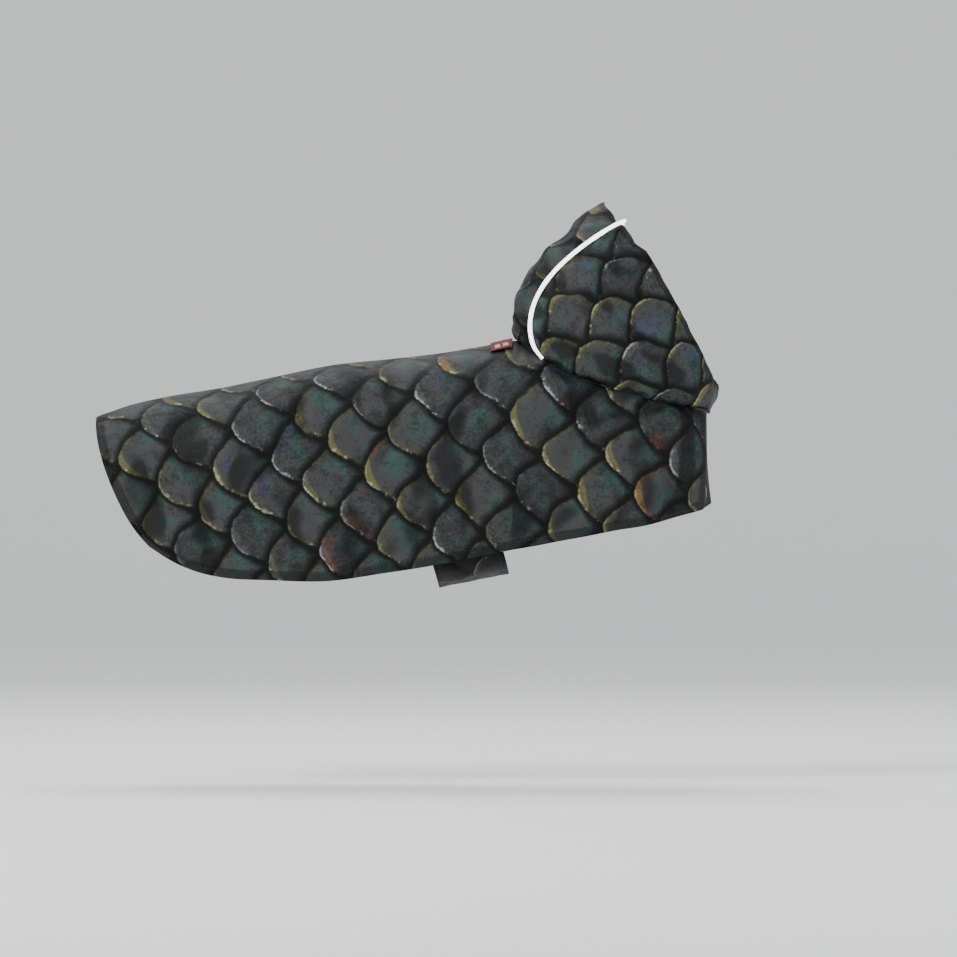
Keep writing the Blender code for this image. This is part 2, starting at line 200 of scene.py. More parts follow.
class Line:
    """A seam or an edge as a dense row of points, which gives distances to it and along it."""

    def __init__(self, points: np.ndarray, step: float = 0.8) -> None:
        """Resamples the line.

        Args:
            points: the line's points in mm.
            step: spacing of the new points, mm.
        """
        lengths = lengths_along(points)
        self.length = float(lengths[-1])
        self.marks = np.linspace(0, self.length, max(int(self.length / step), 2))
        self.points = np.stack([np.interp(self.marks, lengths, points[:, k]) for k in range(3)], axis=1)
        self.tree = KDTree(len(self.points))
        for i, point in enumerate(self.points):
            self.tree.insert(point, i)
        self.tree.balance()

    def point_at(self, mark: float) -> np.ndarray:
        """The line's point at a length along it."""
        return np.array([np.interp(mark, self.marks, self.points[:, k]) for k in range(3)])

    def measure(self, points: np.ndarray) -> tuple[np.ndarray, np.ndarray]:
        """Distance to the line, and length along it, for each point of any array of points."""
        flat = points.reshape(-1, 3)
        found = [self.tree.find(point) for point in flat]
        distances = np.array([hit[2] for hit in found]).reshape(points.shape[:-1])
        along = self.marks[[hit[1] for hit in found]].reshape(points.shape[:-1])
        return distances, along


# ------------------------------------------------------------------ the coat's cut and form


class Section(NamedTuple):
    """One cut through the right half of the body panel, from the ridge of the back to the hem."""

    name: str
    top_x: float
    top_z: float
    side_y: float
    side_drop: float
    push_x: float
    hem_x: float
    hem_y: float
    hem_z: float
    curl: float


class NeckSection(NamedTuple):
    """A cut that starts on the neck seam, at an angle from nape to throat in degrees."""

    angle: float
    seam_z: float
    side_y: float
    side_drop: float
    push_x: float
    hem_x: float
    hem_y: float
    hem_z: float


class HoodFullness(NamedTuple):
    """How far the hood stands out between neck seam and face opening, at an angle in degrees."""

    angle: float
    out_x: float
    out_y: float
    out_z: float
    skew: float


class Crease(NamedTuple):
    """A soft trough, or a ridge if its depth is positive, along a bowed line on one panel."""

    name: str
    start_a: float
    start_b: float
    end_a: float
    end_b: float
    width: float
    depth: float
    bow: float = 0.0
    shoulder: float = 0.4


@dataclass(frozen=True)
class CoatForm:
    """The coat's sizes, and the smooth surfaces of body and hood that they give."""

    back: tuple[Section, ...] = (
        Section("rear_edge", -324.2, -58.8, 50.0, 49.0, 0, -277.2, 50.5, -168.0, 1.0),
        Section("tail", -300.0, -49.5, 55.0, 54.0, 0, -261.0, 54.5, -178.3, 1.0),
        Section("rump", -265.0, -41.3, 60.0, 58.0, 0, -240.0, 59.0, -187.8, 1.0),
        Section("hip", -222.0, -34.3, 63.0, 61.0, 0, -213.0, 61.0, -193.9, 0.9),
        Section("flank", -178.0, -25.3, 63.5, 62.0, 0, -176.0, 60.5, -195.8, 0.7),
        Section("loin", -125.0, -14.5, 62.5, 63.0, 0, -128.0, 58.5, -196.6, 0.4),
        Section("waist", -75.0, -9.2, 63.5, 65.0, 0, -82.0, 56.5, -190.2, 0.2),
        Section("ribs", -30.0, -3.9, 65.5, 67.0, 0, -34.0, 55.0, -182.5, 0.0),
        Section("withers", 3.0, 1.6, 67.0, 68.0, 0, 0.0, 54.8, -175.5, 0.0),
        Section("nape", 33.0, 6.6, 68.2, 64.7, 0, 27.0, 55.1, -170.4, 0.0),
    )
    neck: tuple[NeckSection, ...] = (
        NeckSection(22.5, 2.2, 68.8, 58.2, 0.0, 45.5, 56.3, -167.2),
        NeckSection(45.0, -8.2, 69.3, 47.4, 0.0, 66.5, 57.0, -163.1),
        NeckSection(67.5, -22.1, 69.0, 36.0, 0.0, 90.0, 56.3, -158.7),
        NeckSection(90.0, -35.3, 67.3, 29.2, 0.5, 115.0, 54.0, -153.9),
        NeckSection(112.5, -44.7, 61.2, 26.6, 2.0, 142.0, 48.8, -149.3),
        NeckSection(135.0, -50.3, 47.8, 25.8, 4.0, 166.5, 38.5, -142.5),
        NeckSection(157.5, -53.7, 27.0, 25.0, 2.0, 188.5, 23.0, -136.5),
        NeckSection(180.0, -54.6, 0.0, 25.0, -1.5, 198.0, 0.0, -131.0),
    )
    fullness: tuple[HoodFullness, ...] = (
        HoodFullness(0.0, -19.0, 0.0, 11.8, 0.68),
        HoodFullness(45.0, -25.8, 3.5, 15.0, 0.68),
        HoodFullness(70.0, -16.0, 6.5, 9.0, 0.66),
        HoodFullness(95.0, -6.0, 7.5, 3.0, 0.62),
        HoodFullness(125.0, 0.5, 7.5, -1.0, 0.70),
        HoodFullness(150.0, 2.5, 4.5, -1.0, 1.00),
        HoodFullness(180.0, 3.0, 0.0, 0.0, 1.40),
    )
    side_length: float = 214.0
    piped_seam_angle: float = 45.0
    hood_full_power: float = 0.85
    oval_power: float = 2.3
    neck_middle_x: float = 113.6
    neck_half_length: float = 80.6
    neck_half_width: float = 58.0
    shoulder_turn: float = 1.0
    chest_turn: float = 0.85
    right_edge_angle: float = 157.5
    left_edge_angle: float = 225.0
    lap_start_angle: float = 138.0
    lap_depth: float = 2.2
    lap_ramp: float = 1.5
    peak: tuple[float, float] = (105.0, 122.6)
    throat: tuple[float, float] = (199.9, -31.1)
    opening_half_width: float = 54.0
    opening_bow: float = 7.0
    hem_drawn_in_power: float = 1.6
    rear_round_power: float = 1.6
    rear_tip_power: float = 8.0
    rear_tip_share: float = 0.14

    def neck_seam(self, angle: np.ndarray) -> np.ndarray:
        """Points of the neck seam at angles from the nape, on the right for positive ones."""
        along, across = oval(angle, self.oval_power)
        angles = np.radians([0.0] + [s.angle for s in self.neck])
        heights = np.array([[self.back[-1].top_z]] + [[s.seam_z] for s in self.neck])
        height = smooth_curve(np.abs(angle), angles, heights)[:, 0]
        x = self.neck_middle_x + along * self.neck_half_length
        return np.stack([x, -across * self.neck_half_width, height], axis=1)

    def table(self) -> tuple[np.ndarray, np.ndarray, np.ndarray]:
        """All sections as rows.

        Returns:
            Their places along the panel, their numbers, and their angles round the neck.
        """
        seam = self.neck_seam(np.radians([s.angle for s in self.neck]))
        rows = [list(s[1:]) for s in self.back]
        rows += [[p[0], p[2], *s[2:], 0.0] for s, p in zip(self.neck, seam)]
        numbers = np.array(rows, float)
        side = np.stack([(numbers[:, 0] + numbers[:, 5]) / 2 + numbers[:, 4], numbers[:, 2]], axis=1)
        places = lengths_along(side)
        angles = np.radians([0.0] * len(self.back) + [s.angle for s in self.neck])
        return places, numbers, angles

    def place_of(self, degrees: float) -> float:
        """Where along the panel the section at an angle round the neck lies."""
        places, _, angles = self.table()
        first = len(self.back) - 1
        return float(np.interp(math.radians(degrees), angles[first:], places[first:]))

    def place_at_hem(self, x: float) -> float:
        """Where along the panel the hem has this x."""
        places, numbers, _ = self.table()
        return float(np.interp(x, numbers[:, 5], places))

    def place_at_ridge(self, x: float) -> float:
        """Where along the panel the ridge of the back has this x."""
        places, numbers, _ = self.table()
        return float(np.interp(x, numbers[:, 0], places))

    def side(self, at: np.ndarray, shares: np.ndarray) -> np.ndarray:
        """The body's right side.

        Args:
            at: places along the panel, shape (m,).
            shares: 0 at the ridge or neck seam and 1 at the hem, shape (n,).

        Returns:
            Points in mm, shape (m, n, 3).
        """
        places, numbers, angles = self.table()
        columns = smooth_curve(at, places, numbers).T[:, :, None]
        top_x, top_z, side_y, drop, push, hem_x, hem_y, hem_z, curl = columns
        angle = np.interp(at, places, angles)
        seam = self.neck_seam(angle)
        neck = (angle > 0)[:, None]
        top_x = np.where(neck, seam[:, :1], top_x)
        top_y = np.where(neck, np.abs(seam[:, 1:2]), 0.0)
        top_z = np.where(neck, seam[:, 2:], top_z)
        flat = (self.chest_turn - self.shoulder_turn) * ease(angle / (math.pi / 2))[:, None]
        side_z = top_z - drop
        round_length = drop * math.pi / 2
        round_share = round_length / (round_length + side_z - hem_z)
        first = (self.shoulder_turn + flat) * np.arcsin(np.minimum(top_y / np.maximum(side_y, 1), 1))
        across = shares[None, :]
        turn = first + (math.pi / 2 - first) * np.minimum(across / round_share, 1)
        down = np.maximum(across - round_share, 0) / (1 - round_share)
        swell = (np.sin(turn) - np.sin(first)) / (1 - np.sin(first))
        y = top_y + (side_y - top_y) * swell - (side_y - hem_y) * down**self.hem_drawn_in_power
        z = top_z - drop * (1 - np.cos(turn) / np.cos(first)) - (side_z - hem_z) * down
        depth = (top_z - z) / (top_z - hem_z)
        tip = self.rear_tip_share
        rounded = (1 - tip) * depth**self.rear_round_power + tip * depth**self.rear_tip_power
        x = top_x + (hem_x - top_x) * (curl * rounded + (1 - curl) * depth)
        x = x + push * np.sin(math.pi * depth)
        return np.stack([x, -y, z], axis=2)

    def side_and_normals(self, at: np.ndarray, shares: np.ndarray) -> tuple[np.ndarray, np.ndarray]:
        """The body's right side and its unit normals, both of shape (m, n, 3)."""
        points = self.side(at, shares)
        along = self.side(at + PROBE, shares) - self.side(at - PROBE, shares)
        return points, unit(np.cross(np.gradient(points, axis=1), along))

    def left_side(self, at: np.ndarray, shares: np.ndarray) -> np.ndarray:
        """The body's left side, which goes on past the middle of the chest, under the right.

        Args:
            at: places along the panel, which may pass its middle at the throat.
            shares: 0 at the ridge or neck seam and 1 at the hem.

        Returns:
            Points in mm, shape (places, shares, 3).
        """
        end = self.place_of(180.0)
        past = at > end
        reach = np.clip(np.where(past, 2 * end - at, at), 0.0, end - THROAT_MARGIN)
        start = self.place_of(self.lap_start_angle)
        depth = self.lap_depth * ease((at - start) / (end - start) * self.lap_ramp)
        points, normals = self.side_and_normals(reach, shares)
        points = points - depth[:, None, None] * normals
        return np.where(past[:, None, None], points, mirrored(points))

    def face_opening(self, angle: np.ndarray) -> np.ndarray:
        """The hood's face opening.

        Args:
            angle: angles from its peak, positive on the right.

        Returns:
            Points in mm.
        """
        peak = np.array([self.peak[0], 0, self.peak[1]])
        throat = np.array([self.throat[0], 0, self.throat[1]])
        half = (throat - peak) / 2
        along, across = oval(angle, self.oval_power)
        forward = np.array([-half[2], 0, half[0]]) / np.linalg.norm(half)
        points = (peak + throat) / 2 + along[:, None] * half
        points[:, 1] -= across * self.opening_half_width
        return points + self.opening_bow * np.abs(np.sin(angle))[:, None] ** 3 * forward

    def hood(self, angle: np.ndarray, up: np.ndarray) -> np.ndarray:
        """The hood's outer face.

        Args:
            angle: angles from the nape, positive on the right, shape (m,).
            up: 0 at the neck seam and 1 at the face opening, shape (n,).

        Returns:
            Points in mm, shape (m, n, 3).
        """
        angles = np.radians([f.angle for f in self.fullness])
        numbers = np.array([list(f[1:]) for f in self.fullness])
        out = smooth_curve(np.abs(angle), angles, numbers)
        arch = np.maximum(np.sin(math.pi * up[None, :] ** out[:, 3:4]), 0)
        full = arch[:, :, None] ** self.hood_full_power
        side = np.sign(angle)
        push = np.stack([out[:, 0], -side * out[:, 1], out[:, 2]], axis=1)
        start, end = self.neck_seam(angle), self.face_opening(angle)
        return start[:, None] + (end - start)[:, None] * up[None, :, None] + full * push[:, None]


def crease_height(creases: Iterable[Crease], a: np.ndarray, b: np.ndarray) -> np.ndarray:
    """How far listed creases move a panel outwards.

    Args:
        creases: the creases, in two of the panel's coordinates.
        a: first coordinate of each point, mm.
        b: second coordinate of each point, mm.

    Returns:
        The move along the normal in mm, of the same shape as a.
    """
    total = np.zeros(np.shape(a))
    for c in creases:
        run_a, run_b = c.end_a - c.start_a, c.end_b - c.start_b
        length = math.hypot(run_a, run_b)
        share = ((a - c.start_a) * run_a + (b - c.start_b) * run_b) / length**2
        off = ((b - c.start_b) * run_a - (a - c.start_a) * run_b) / length
        inside = np.clip(share, 0, 1)
        off = off - c.bow * 4 * inside * (1 - inside)
        past = (share - inside) * length
        far = np.hypot(off, past) / c.width * np.sign(off + 1e-9)
        fade = ease(1.25 - np.abs(2 * inside - 1))
        roll = np.exp(-(far**2)) - c.shoulder * np.exp(-((far - 1.7) ** 2) / 0.8)
        total += c.depth * roll * fade
    return total


# ------------------------------------------------------------------ Blender helpers


def only(piece: Object) -> None:
    """Selects one piece alone and makes it active."""
    bpy.ops.object.select_all(action="DESELECT")
    piece.select_set(True)
    bpy.context.view_layer.objects.active = piece


def mesh_piece(name: str, points: np.ndarray, faces: Sequence[Sequence[int]]) -> Object:
    """A mesh object from points in mm, at the origin.

    Args:
        name: the piece's name.
        points: its corners, shape (n, 3).
        faces: corner numbers of each face.

    Returns:
        The linked object.
    """
    mesh = bpy.data.meshes.new(name)
    mesh.from_pydata((points * MM).tolist(), [], [list(map(int, f)) for f in faces])
    mesh.update()
    mesh.shade_smooth()
    piece = bpy.data.objects.new(name, mesh)
    bpy.context.scene.collection.objects.link(piece)
    return piece


def grid_faces(index: np.ndarray, flip: bool) -> list[list[int]]:
    """Quads of a grid of corner numbers, turned over if flip is set."""
    quads = np.stack([index[:-1, :-1], index[1:, :-1], index[1:, 1:], index[:-1, 1:]], axis=2)
    quads = quads.reshape(-1, 4)
    return (quads[:, ::-1] if flip else quads).tolist()


def grid_piece(name: str, grid: np.ndarray, flip: bool) -> Object:
    """A sheet from a grid of points in mm, turned over if flip is set."""
    index = np.arange(grid.shape[0] * grid.shape[1]).reshape(grid.shape[:2])
    return mesh_piece(name, grid.reshape(-1, 3), grid_faces(index, flip))


def pushed_out(piece: Object, points: np.ndarray, move: np.ndarray) -> np.ndarray:
    """Points in mm of a piece's corners, each moved along its normal by its number in mm."""
    return points + np.array([v.normal for v in piece.data.vertices]) * move[:, None]


def place_corners(piece: Object, points: np.ndarray) -> None:
    """Moves a piece's corners to points in mm."""
    piece.data.vertices.foreach_set("co", (points * MM).astype(np.float32).ravel())


def edit_edges(mesh: Mesh, chosen: set[int]) -> None:
    """Opens the active mesh for editing with these edges selected alone."""
    for part in (*mesh.vertices, *mesh.polygons):
        part.select = False
    for edge in mesh.edges:
        edge.select = edge.index in chosen
    bpy.ops.object.mode_set(mode="EDIT")
    bpy.ops.mesh.select_mode(type="EDGE")


def lay_flat(
    piece: Object, facing: Sequence[float], tips: Sequence[float], shift: tuple[float, float]
) -> None:
    """Flattens a sheet to its cut and gives it that UV map, in metres, with the print's direction.

    Args:
        piece: an open sheet.
        facing: direction out of the part of the sheet whose print is set.
        tips: direction there in which the print's tips point.
        shift: where the print starts, in metres.
    """
    only(piece)
    mesh = piece.data
    mesh.uv_layers.new(name="cut")
    bpy.ops.object.mode_set(mode="EDIT")
    bpy.ops.mesh.select_all(action="SELECT")
    bpy.ops.uv.unwrap(method="ANGLE_BASED", margin=0.0)
    bpy.ops.object.mode_set(mode="OBJECT")
    mesh.calc_loop_triangles()
    uv = np.empty(len(mesh.loops) * 2, np.float32)
    mesh.uv_layers["cut"].data.foreach_get("uv", uv)
    uv = uv.reshape(-1, 2).astype(float)
    points = np.array([v.co for v in mesh.vertices])
    corners = np.array([t.vertices for t in mesh.loop_triangles])
    loops = np.array([t.loops for t in mesh.loop_triangles])
    first, second = (points[corners[:, k]] - points[corners[:, 0]] for k in (1, 2))
    flat_first, flat_second = (uv[loops[:, k]] - uv[loops[:, 0]] for k in (1, 2))
    cross = np.cross(first, second)
    area = np.linalg.norm(cross, axis=1) / 2
    flat_area = np.abs(flat_first[:, 0] * flat_second[:, 1] - flat_first[:, 1] * flat_second[:, 0]) / 2
    scale = math.sqrt(area.sum() / flat_area.sum())
    outward = np.array(facing, float) / np.linalg.norm(facing)
    chosen = cross @ outward / (2 * area + 1e-15) > 0.7

    def on_the_cut(direction: np.ndarray) -> np.ndarray:
        """The mean direction on the cut of a direction in space."""
        aa, ab, bb = (first**2).sum(1), (first * second).sum(1), (second**2).sum(1)
        ra, rb = first @ direction, second @ direction
        whole = aa * bb - ab * ab + 1e-24
        p, q = (ra * bb - rb * ab) / whole, (rb * aa - ra * ab) / whole
        found = p[:, None] * flat_first + q[:, None] * flat_second
        return (found * area[:, None])[chosen].sum(axis=0)

    along = on_the_cut(np.array(tips, float))
    upright = on_the_cut(np.array([0.0, 0.0, 1.0] if abs(outward[2]) < 0.8 else [0.0, 1.0, 0.0]))
    turn = math.pi - math.atan2(along[1], along[0])
    turned = np.array([[math.cos(turn), -math.sin(turn)], [math.sin(turn), math.cos(turn)]])
    uv = uv @ turned.T
    if (turned @ upright)[1] < 0:
        uv[:, 1] *= -1
    uv = (uv - (uv.min(axis=0) + uv.max(axis=0)) / 2) * scale + np.array(shift)
    mesh.uv_layers["cut"].data.foreach_set("uv", uv.astype(np.float32).ravel())
    LOG.info("%s cut: %s mm, %.4f m2", piece.name, np.round(np.ptp(uv, axis=0) * 1000, 1), area.sum())


def give_wall(piece: Object, wall: float, round_off: float) -> None:
    """Gives a sheet its wall, inwards, and rounds its edges.

    Args:
        piece: an open sheet with outward faces. Its second material goes inside.
        wall: thickness in mm.
        round_off: size of the rounding in mm.
    """
    only(piece)
    for _ in ("face", "back", "edge"):
        piece.data.materials.append(None)
    made = piece.modifiers.new("wall", "SOLIDIFY")
    made.thickness = wall * MM
    made.offset = -1
    made.use_rim = True
    made.use_quality_normals = True
    made.material_offset = 1
    made.material_offset_rim = 2
    bpy.ops.object.modifier_apply(modifier="wall")
    mesh = piece.data
    rim = np.array([p.material_index == 2 for p in mesh.polygons])
    edge_faces: dict[int, list[bool]] = {}
    loop_edges = np.array([loop.edge_index for loop in mesh.loops])
    for polygon, on_rim in zip(mesh.polygons, rim):
        for i in polygon.loop_indices:
            edge_faces.setdefault(int(loop_edges[i]), []).append(bool(on_rim))
    edit_edges(mesh, {edge for edge, sides in edge_faces.items() if sorted(sides) == [False, True]})
    bpy.ops.mesh.bevel(offset=round_off * MM, segments=2, affect="EDGES", clamp_overlap=True)
    bpy.ops.object.mode_set(mode="OBJECT")
    piece.data.shade_smooth()


def finish_sheet(
    piece: Object, points: np.ndarray, hem: np.ndarray, fold: np.ndarray, wall: float,
    round_off: float = 0.3,
) -> None:
    """Moves a sheet's corners, stores what its material reads, and gives it its wall.

    Args:
        piece: an open sheet.
        points: its corners in mm.
        hem: 1 on its turned edges and 0 elsewhere, for each corner.
        fold: below 0 where light reaches less, for each corner.
        wall: thickness in mm.
        round_off: size of the edges' rounding in mm.
    """
    place_corners(piece, points)
    for name, values in (("hem", hem), ("fold", fold)):
        made = piece.data.attributes.new(name, "FLOAT", "POINT")
        made.data.foreach_set("value", np.asarray(values, np.float32).ravel())
    give_wall(piece, wall, round_off)


def tree_of(piece: Object) -> BVHTree:
    """A search tree of a finished piece's faces."""
    points = [v.co.copy() for v in piece.data.vertices]
    return BVHTree.FromPolygons(points, [tuple(p.vertices) for p in piece.data.polygons])


# ------------------------------------------------------------------ node trees


class Tree:
    """Adds nodes to one node tree and links them."""

    def __init__(self, tree: NodeTree) -> None:
        """Keeps the tree."""
        self.tree = tree

    def add(self, kind: str, sockets: dict | None = None, **settings: object) -> Node:
        """One node.

        Args:
            kind: its type name.
            sockets: values or sockets for its inputs, by name or number.
            settings: its own properties.

        Returns:
            The node.
        """
        node = self.tree.nodes.new(kind)
        for key, value in settings.items():
            setattr(node, key, value)
        self.feed(node, sockets or {})
        return node

    def feed(self, node: Node, sockets: dict) -> None:
        """Links each socket to the node's input of that name or number, or sets each value there."""
        for key, value in sockets.items():
            if isinstance(value, NodeSocket):
                self.tree.links.new(value, node.inputs[key])
            else:
                node.inputs[key].default_value = value

    def math(self, operation: str, *values: object) -> NodeSocket:
        """A Math node's result."""
        return self.add("ShaderNodeMath", dict(enumerate(values)), operation=operation).outputs[0]

    def times(self, first: object, *others: object) -> NodeSocket:
        """The product of two or more values."""
        for other in others:
            first = self.math("MULTIPLY", first, other)
        return first

    def minus(self, first: object, second: object) -> NodeSocket:
        """The first value less the second."""
        return self.math("SUBTRACT", first, second)

    def times_plus(self, first: object, second: object, third: object) -> NodeSocket:
        """The first value times the second, plus the third."""
        return self.math("MULTIPLY_ADD", first, second, third)

    def step(
        self, value: object, low: float, high: float, to_low: float = 0.0, to_high: float = 1.0
    ) -> NodeSocket:
        """An eased Map Range node's result."""
        sockets = {0: value, 1: low, 2: high, 3: to_low, 4: to_high}
        node = self.add("ShaderNodeMapRange", sockets, interpolation_type="SMOOTHSTEP")
        return node.outputs[0]

    def colour(self, share: object, first: object, second: object, how: str = "MIX") -> NodeSocket:
        """A Mix node's colour."""
        sockets = {0: share, 6: first, 7: second}
        return self.add("ShaderNodeMix", sockets, data_type="RGBA", blend_type=how).outputs[2]

    def noise(self, vector: object, scale: float, detail: float = 2.0, rough: float = 0.5) -> Node:
        """A Noise Texture node, with its value and its colour as outputs."""
        sockets = {"Vector": vector, "Scale": scale, "Detail": detail, "Roughness": rough}
        return self.add("ShaderNodeTexNoise", sockets)

    def vector(self, operation: str, *values: object) -> NodeSocket:
        """A Vector Math node's vector."""
        return self.add("ShaderNodeVectorMath", dict(enumerate(values)), operation=operation).outputs[0]

    def bump(self, strength: float, distance: float, height: object, under: object = None) -> NodeSocket:
        """A Bump node's normal, on top of another one's if that is given.

        Args:
            strength: how strong it is.
            distance: height of the bumps in metres.
            height: the height that it reads.
            under: the normal below it.

        Returns:
            The normal.
        """
        sockets = {"Strength": strength, "Distance": distance, "Height": height}
        if under is not None:
            sockets["Normal"] = under
        return self.add("ShaderNodeBump", sockets).outputs[0]

    def group(self, group: NodeTree, cloth: NodeSocket, number: float) -> NodeSocket:
        """A group's result, from places on the cloth and the group's own number."""
        return self.add("ShaderNodeGroup", {0: cloth, 1: number}, node_tree=group).outputs[0]

    def cut_map(self) -> NodeSocket:
        """Places on the flat cut in metres."""
        return self.add("ShaderNodeUVMap", uv_map="cut").outputs[0]

    def attribute(self, name: str) -> NodeSocket:
        """A number stored on the mesh."""
        return self.add("ShaderNodeAttribute", attribute_name=name).outputs["Fac"]


def new_group(
    name: str, inputs: dict[str, tuple[str, object]], outputs: dict[str, str]
) -> tuple[NodeTree, Tree, Node, Node]:
    """An empty shader group.

    Args:
        name: its name.
        inputs: socket kind and first value by name.
        outputs: socket kind by name.

    Returns:
        The group, a Tree on it, its input node and its output node.
    """
    group = bpy.data.node_groups.new(name, "ShaderNodeTree")
    for label, (kind, value) in inputs.items():
        made = group.interface.new_socket(name=label, in_out="INPUT", socket_type=kind)
        if value is not None:
            made.default_value = value
    for label, kind in outputs.items():
        group.interface.new_socket(name=label, in_out="OUTPUT", socket_type=kind)
    tree = Tree(group)
    return group, tree, tree.add("NodeGroupInput"), tree.add("NodeGroupOutput")


@dataclass(frozen=True)
class ScalePrint:
    """The printed pattern: rows of overlapping reptile scales, tips to one side, in cut metres."""

    period: float = 0.0505
    row: float = 0.031
    rim_slope: float = 1.64
    deep: tuple[float, float, float] = (0.0016, 0.0018, 0.0019)
    bright: tuple[float, float, float] = (0.042, 0.043, 0.043)
    glint: tuple[float, float, float] = (0.34, 0.345, 0.33)
    glint_warmth: tuple[float, float, float] = (1.0, 0.97, 0.7)

    def group(self) -> NodeTree:
        """Builds the node group: cloth coordinates and a seed in, colour out."""
        group, t, start, end = new_group(
            "scale_print",
            {"Cloth": ("NodeSocketVector", None), "Seed": ("NodeSocketFloat", 0.0)},
            {"Color": "NodeSocketColor"},
        )
        cloth, seed = start.outputs[0], start.outputs[1]
        # Uneven rows, and each point's place in its row and column.
        wide = t.vector("SUBTRACT", t.noise(cloth, 21.0, 1.0).outputs["Color"], (0.5, 0.5, 0.5))
        fine = t.vector("SUBTRACT", t.noise(cloth, 95.0, 2.0).outputs["Color"], (0.5, 0.5, 0.5))
        moved = t.vector("MULTIPLY_ADD", wide, (0.016, 0.016, 0.0), cloth)
        moved = t.vector("MULTIPLY_ADD", fine, (0.0032, 0.0032, 0.0), moved)
        split = t.add("ShaderNodeSeparateXYZ", {0: moved})
        x = t.math("DIVIDE", split.outputs[0], self.period)
        y = t.math("DIVIDE", split.outputs[1], self.row)
        row = t.math("FLOOR", y)
        rest = t.minus(y, row)
        shift = t.times(t.math("FLOORED_MODULO", row, 2.0), 0.5)
        # Of the two scales that reach over this point, the upper one hides the other.
        quarter = t.times(rest, math.pi / 2)
        cosine, sine = t.math("COSINE", quarter), t.math("SINE", quarter)
        place = t.times_plus(cosine, 0.5, t.minus(x, shift))
        column = t.math("FLOOR", place)
        part = t.minus(place, column)
        limit = t.times_plus(t.minus(cosine, sine), 0.5, 0.5)
        upper = t.math("GREATER_THAN", part, limit)
        rim = t.minus(part, t.times(upper, limit))
        far_limit = t.times_plus(upper, t.minus(1.0, limit), limit)
        far = t.minus(far_limit, part)
        level = t.minus(rest, upper)
        turned = t.minus(sine, cosine)
        own_cos = t.times_plus(upper, turned, cosine)
        own_sin = t.minus(sine, t.times(upper, turned))
        # The scale's own centre, and three chances that go with it.
        lead = t.minus(rim, t.times(own_cos, 0.5))
        centre = t.add("ShaderNodeCombineXYZ", {
            0: t.math("ADD", t.math("ADD", column, shift), t.times(upper, 0.5)),
            1: t.math("ADD", row, upper),
            2: seed,
        }).outputs[0]
        dice = t.add("ShaderNodeTexWhiteNoise", {0: centre}, noise_dimensions="3D")
        chance = t.add("ShaderNodeSeparateColor", {0: dice.outputs["Color"]})

        def true_distance(share: object, slope: object) -> NodeSocket:
            """Turns a distance along the row into one square to the rim, in millimetres."""
            steep = t.times_plus(t.times(slope, slope), self.rim_slope, 1.0)
            return t.math("DIVIDE", t.times(share, self.period * 1000), t.math("SQRT", steep))

        from_rim = true_distance(rim, own_sin)
        from_next = true_distance(far, own_cos)

        # Unevenness of several sizes. The last three differ from scale to scale.
        grain = t.noise(cloth, 95.0, 4.0, 0.6).outputs[0]
        pimples = t.noise(cloth, 380.0, 2.0, 0.6).outputs[0]
        own = t.vector("MULTIPLY_ADD", centre, (0.9, 0.7, 0.5), cloth)
        blotch = t.noise(own, 44.0, 2.0).outputs[0]
        patch = t.noise(own, 45.0, 1.0).outputs[0]
        speck = t.noise(own, 165.0, 2.0).outputs[0]

        # Lightness: domed scales, dark valleys between them, and a grain.
        across = t.times(t.math("ADD", lead, 0.17), 1.5)
        dome = t.minus(1.0, t.times(across, across))
        dome = t.step(t.times_plus(t.times(level, level), -0.95, dome), -0.15, 1.0)
        shade_width = t.step(level, 0.6, -0.5, 5.0, 8.5)
        valley = t.step(t.math("DIVIDE", from_next, shade_width), 0.0, 1.0, 0.05, 1.0)
        outer = t.math("MAXIMUM", t.minus(t.math("ABSOLUTE", level), 0.3), 0.0)
        gap = t.times(t.math("POWER", outer, 1.5), 3.6)
        soft = t.times_plus(outer, 5.0, 1.1)
        edge = t.step(t.math("DIVIDE", t.minus(from_rim, gap), soft), 0.0, 1.0, 0.08, 1.0)
        edge = t.times(edge, t.step(outer, 0.7, 0.5, 0.25, 1.0))
        own_light = t.step(chance.outputs[0], 0.0, 1.0, 0.7, 1.3)
        light = t.times(t.times_plus(dome, 0.8, 0.16), t.step(grain, 0.25, 0.75, 0.55, 1.4), own_light,
                        t.step(pimples, 0.3, 0.7, 0.8, 1.2), valley, edge)

        # The pale tip along the rim, its broken glint, and flecks behind it.
        reach = t.times(t.math("ADD", level, 0.12), 1.9)
        lens = t.math("MAXIMUM", t.minus(1.0, t.times(reach, reach)), 0.0)
        thick = t.times(t.step(chance.outputs[1], 0.0, 1.0, 3.0, 9.0), lens)
        inside = t.minus(thick, from_rim)
        tip = t.times(t.step(inside, 0.0, 1.6), edge)
        glint = t.times(t.step(from_rim, 0.4, 1.2), t.step(from_rim, 1.6, 3.0, 1.0, 0.0),
                        t.step(level, 0.35, -0.2, 0.25, 1.0), t.step(lens, 0.1, 0.8),
                        t.step(grain, 0.42, 0.56, 0.1, 1.0), t.step(chance.outputs[2], 0.15, 0.8))
        fleck = t.times(t.step(speck, 0.56, 0.64), t.step(from_rim, 5.0, 1.5),
                        t.step(level, 0.15, -0.2, 0.1, 1.0), edge)
        glint = t.math("MAXIMUM", glint, fleck)
        glint = t.times(glint, t.step(pimples, 0.25, 0.6, 0.35, 1.0))

